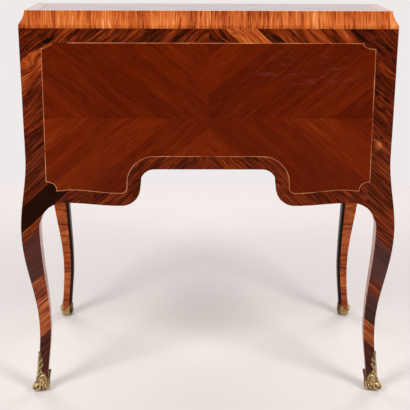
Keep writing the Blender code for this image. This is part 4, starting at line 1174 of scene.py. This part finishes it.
def keyholePlate():
    # A shaped plate round a keyhole on the cylinder: r(angle) of the hole and of the lobed outline, and
    # between them a dished section that comes down to the wood at both edges.
    shape = keyShape
    turn = np.linspace(0.0, 2 * np.pi, shape["around"], endpoint=False)
    fromDown = np.abs((turn + np.pi / 2 + np.pi) % (2 * np.pi) - np.pi)
    hole = shape["hole"] + (shape["slot"] - shape["hole"]) * np.exp(-(fromDown / shape["slotWidth"]) ** 4)
    lobes = np.cos(shape["lobes"] * turn)
    outline = np.hypot(shape["wide"] * np.cos(turn), shape["tall"] * np.sin(turn))
    outline = outline * (1 + shape["lobeDepth"] * lobes)
    share = np.concatenate([np.linspace(0.0, 1.0, shape["outerSteps"]),
                            np.linspace(1.0, 0.0, shape["innerSteps"])])[:, None]
    start, stop, power = shape["dish"]
    dish = np.sin(np.pi * np.linspace(start, stop, shape["outerSteps"])) ** power
    lift = np.concatenate([shape["edge"] + shape["proud"] * dish, np.zeros(shape["innerSteps"])])[:, None]
    lift = lift + shape["ripple"] * lobes * np.sin(np.pi * share) * (lift > 0)
    radius = hole * (1 - share) + outline * share
    grid = onRoll(radius * np.cos(turn), shape["rise"] + radius * np.sin(turn), lift)
    makePiece("cylinder_keyhole_plate", grid, bronze, "cylinder", wrapRows=True, sharp=60)


toolingShape = {"lines": ((0.012, 0.0026), (0.0165, 0.0008)), "proud": 0.0003, "bite": 0.012, "quirk": 0.002}


def leatherTooling():
    # a broad and a fine gold line round the leather: inset and width
    shape = toolingShape
    low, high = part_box("writing_leather")
    for index, (inset, width) in enumerate(shape["lines"]):
        lowLine, highLine = plainFrame(low.x + inset, high.x - inset, low.y + inset, high.y - inset, shape)
        ring = np.concatenate([lowLine, highLine[::-1]])
        ribbon(f"leather_gold_line_{index + 1}", ring, onTop(high.z), width, shape["proud"], gold, "slide",
               base=-shape["proud"])


placeKnobs()
keyholePlate()
leatherTooling()
print("knobs, keyhole plate and tooling placed")


# finishes of the solids that stay in view
def bothSides(*names):
    return [name.format(sideName) for name in names for sideName in ("left", "right")]


solidLooks = (
    (fieldTop, ["top_panel"]),
    (bandBack, ["front_apron", "centre_drawer_front", *bothSides("{}_drawer_front")]),
    (bandSide, bothSides("{}_side_panel", "{}_partition")),
    (bandFlat, ["writing_slide"]),
    (corniceAcross, ["slide_lipping"]),
    (hideLook, ["writing_leather"]),
    (brass, ["cylinder_lock"]),
    (iron, bothSides("{}_pivot_pin", "{}_cylinder_arm")),
    (nestEdge, ["bed_board", "nest_base", "nest_top", "nest_shelf",
                *bothSides("nest_{}_end", "nest_{}_lower_divider", "nest_{}_upper_divider")]),
    (nestWood, bothSides("nest_{}_drawer")),
    (oakAcross, ["nest_back"]),
    (oakLong, ["centre_drawer_tray",
               *bothSides("{}_drawer_board", "{}_centre_runner", "{}_slide_guide", "{}_drawer_tray")]),
)
for look, names in solidLooks:
    for name in names:
        nodes[name].data.materials.clear()
        nodes[name].data.materials.append(look)
print("solids finished:", sum(len(names) for look, names in solidLooks))


# stage, light and camera
stageShape = {"far": -1.78, "near": 2.6, "half": 4.0, "drop": 0.0004, "floor": (219, 212, 209),
              "mark": (190, 182, 178), "markScale": 2.2, "markShare": 0.06, "rough": 0.75, "sheen": 0.2,
              "wall": (239, 234, 234), "lift": 0.05, "fadeAside": (0.85, 1.70), "fadeNear": (0.62, 1.45),
              "dim": (20, 18, 17), "dimFrom": (0.5, 1.0), "dimShare": 0.9}
lampShape = {
    "back": {"aside": 1.75, "toward": 1.80, "height": 2.40, "size": 0.95, "power": 53.0,
             "aim": (0.0, 0.1, 0.45)},
    "front": {"aside": 1.45, "toward": -2.05, "height": 2.00, "size": 1.5, "power": 31.0,
              "aim": (0.0, -0.1, 0.45)},
}
roomShape = {"ambient": 0.34, "ambientFrom": (-0.05, 0.25), "wallFrom": (-0.30, 0.20), "ceiling": 2.6,
             "ceilingFrom": (0.36, 0.72), "dark": 0.02}
cameraShape = {"place": (0.032, 2.4942, 1.205), "tiltDown": 0.2973, "yaw": -0.0108, "roll": 0.0036,
               "lens": 81.482, "sensor": 36.0}


def rays(tree, kind):
    # 1 where the light path is of this kind
    return addNode("LightPath", {}, kind, tree)


def layFloor():
    # a pale sheet; what the camera sees of it is lifted a little and melts into the wall far out to the sides
    # and at the near end, what polished faces see of it is dim away from the desk, and it keeps the shadows
    shape = stageShape
    look, tree, shader = newLook("paleFloor")
    marks = clouds(coordinates(tree), shape["markScale"], 5.0, 0.6)
    colour = blendColours(spread(marks, *noiseRange, 0.0, shape["markShare"]), srgb(shape["floor"]),
                          srgb(shape["mark"]))
    aside, toward = sheetPlace(tree, "XY")
    dim = rays(tree, "Is Glossy Ray") * spread(toward, *shape["dimFrom"], 0.0, shape["dimShare"])
    far = calc("MAXIMUM", spread(abs(aside), *shape["fadeAside"], 0.0, 1.0),
               spread(toward, *shape["fadeNear"], 0.0, 1.0))
    seen = rays(tree, "Is Camera Ray")
    fade = seen * far
    dress(shader, {"Base Color": blendColours(calc("MAXIMUM", dim, fade), colour, srgb(shape["dim"])),
                   "Roughness": shape["rough"],
                   "Specular IOR Level": spread(fade, 0.0, 1.0, shape["sheen"], 0.0),
                   "Emission Color": blendColours(fade, colour, srgb(shape["wall"])),
                   "Emission Strength": seen * spread(far, 0.0, 1.0, shape["lift"], 1.0)})
    mesh = bpy.data.meshes.new("studio_floor")
    x, y = np.meshgrid((-shape["half"], shape["half"]), (shape["far"], shape["near"]))
    points = np.stack([x, y, np.full(x.shape, -shape["drop"])], -1).reshape(-1, 3)
    mesh.from_pydata(points.tolist(), [], [(0, 1, 3, 2)])
    mesh.materials.append(look)
    floor = bpy.data.objects.new("studio_floor", mesh)
    bpy.context.scene.collection.objects.link(floor)


def hangLamp(name, values, side):
    # a square lamp turned so that its back points away from what it is aimed at
    lamp = bpy.data.lights.new(name, "AREA")
    lamp.shape = "SQUARE"
    lamp.size = values["size"]
    lamp.energy = values["power"]
    holder = bpy.data.objects.new(name, lamp)
    holder.visible_glossy = False                    # polished faces show the room, not the lamps
    bpy.context.scene.collection.objects.link(holder)
    place = np.array([side * values["aside"], values["toward"], values["height"]])
    back = place - np.array(values["aim"])
    back /= np.linalg.norm(back)
    right = np.cross([0.0, 0.0, 1.0], back)
    right /= np.linalg.norm(right)
    rows = np.column_stack([right, np.cross(back, right), back, place])
    holder.matrix_world = Matrix(rows.tolist() + [[0, 0, 0, 1]])


def lightStudio():
    # Soft lamps at the back and front, and a room seen three ways: the camera sees the pale wall; polished
    # faces see that wall behind the desk and a dark room with a pale ceiling on the other side; the rest get
    # even grey.
    for side in (-1, 1):
        hangLamp("backLamp", lampShape["back"], side)
        hangLamp("frontLamp", lampShape["front"], side)
    shape = roomShape
    world = bpy.data.worlds.new("studioRoom")
    bpy.context.scene.world = world
    world.use_nodes = True
    tree = world.node_tree
    toward, up = split("XYZ", coordinates(tree, "Generated"))[1:]
    wall = srgb(stageShape["wall"])
    ceiling = spread(up, *shape["ceilingFrom"], shape["dark"], shape["ceiling"])
    behind = spread(toward, *shape["wallFrom"], 1.0, 0.0)
    reflected = blendColours(behind, vector(ceiling, ceiling, ceiling), wall)
    grey = spread(up, *shape["ambientFrom"], 0.0, shape["ambient"])
    inPolish = calc("MAXIMUM", rays(tree, "Is Glossy Ray"), rays(tree, "Is Transmission Ray"))
    lit = blendColours(inPolish, vector(grey, grey, grey), reflected)
    room = blendColours(rays(tree, "Is Camera Ray"), lit, wall)
    dress(tree.nodes["Background"], {"Color": room, "Strength": 1.0})


def aimCamera():
    shape = cameraShape
    lens = bpy.data.cameras.new("deskCamera")
    lens.lens = shape["lens"]
    lens.sensor_width = shape["sensor"]
    camera = bpy.data.objects.new("deskCamera", lens)
    bpy.context.scene.collection.objects.link(camera)
    camera.matrix_world = (Matrix.Translation(shape["place"])
                           @ Matrix.Rotation(math.pi + shape["yaw"], 4, "Z")
                           @ Matrix.Rotation(math.pi / 2 - shape["tiltDown"], 4, "X")
                           @ Matrix.Rotation(shape["roll"], 4, "Z"))
    bpy.context.scene.camera = camera


layFloor()
lightStudio()
aimCamera()
bpy.context.scene.view_settings.view_transform = "Standard"
print("stage lit, camera set")
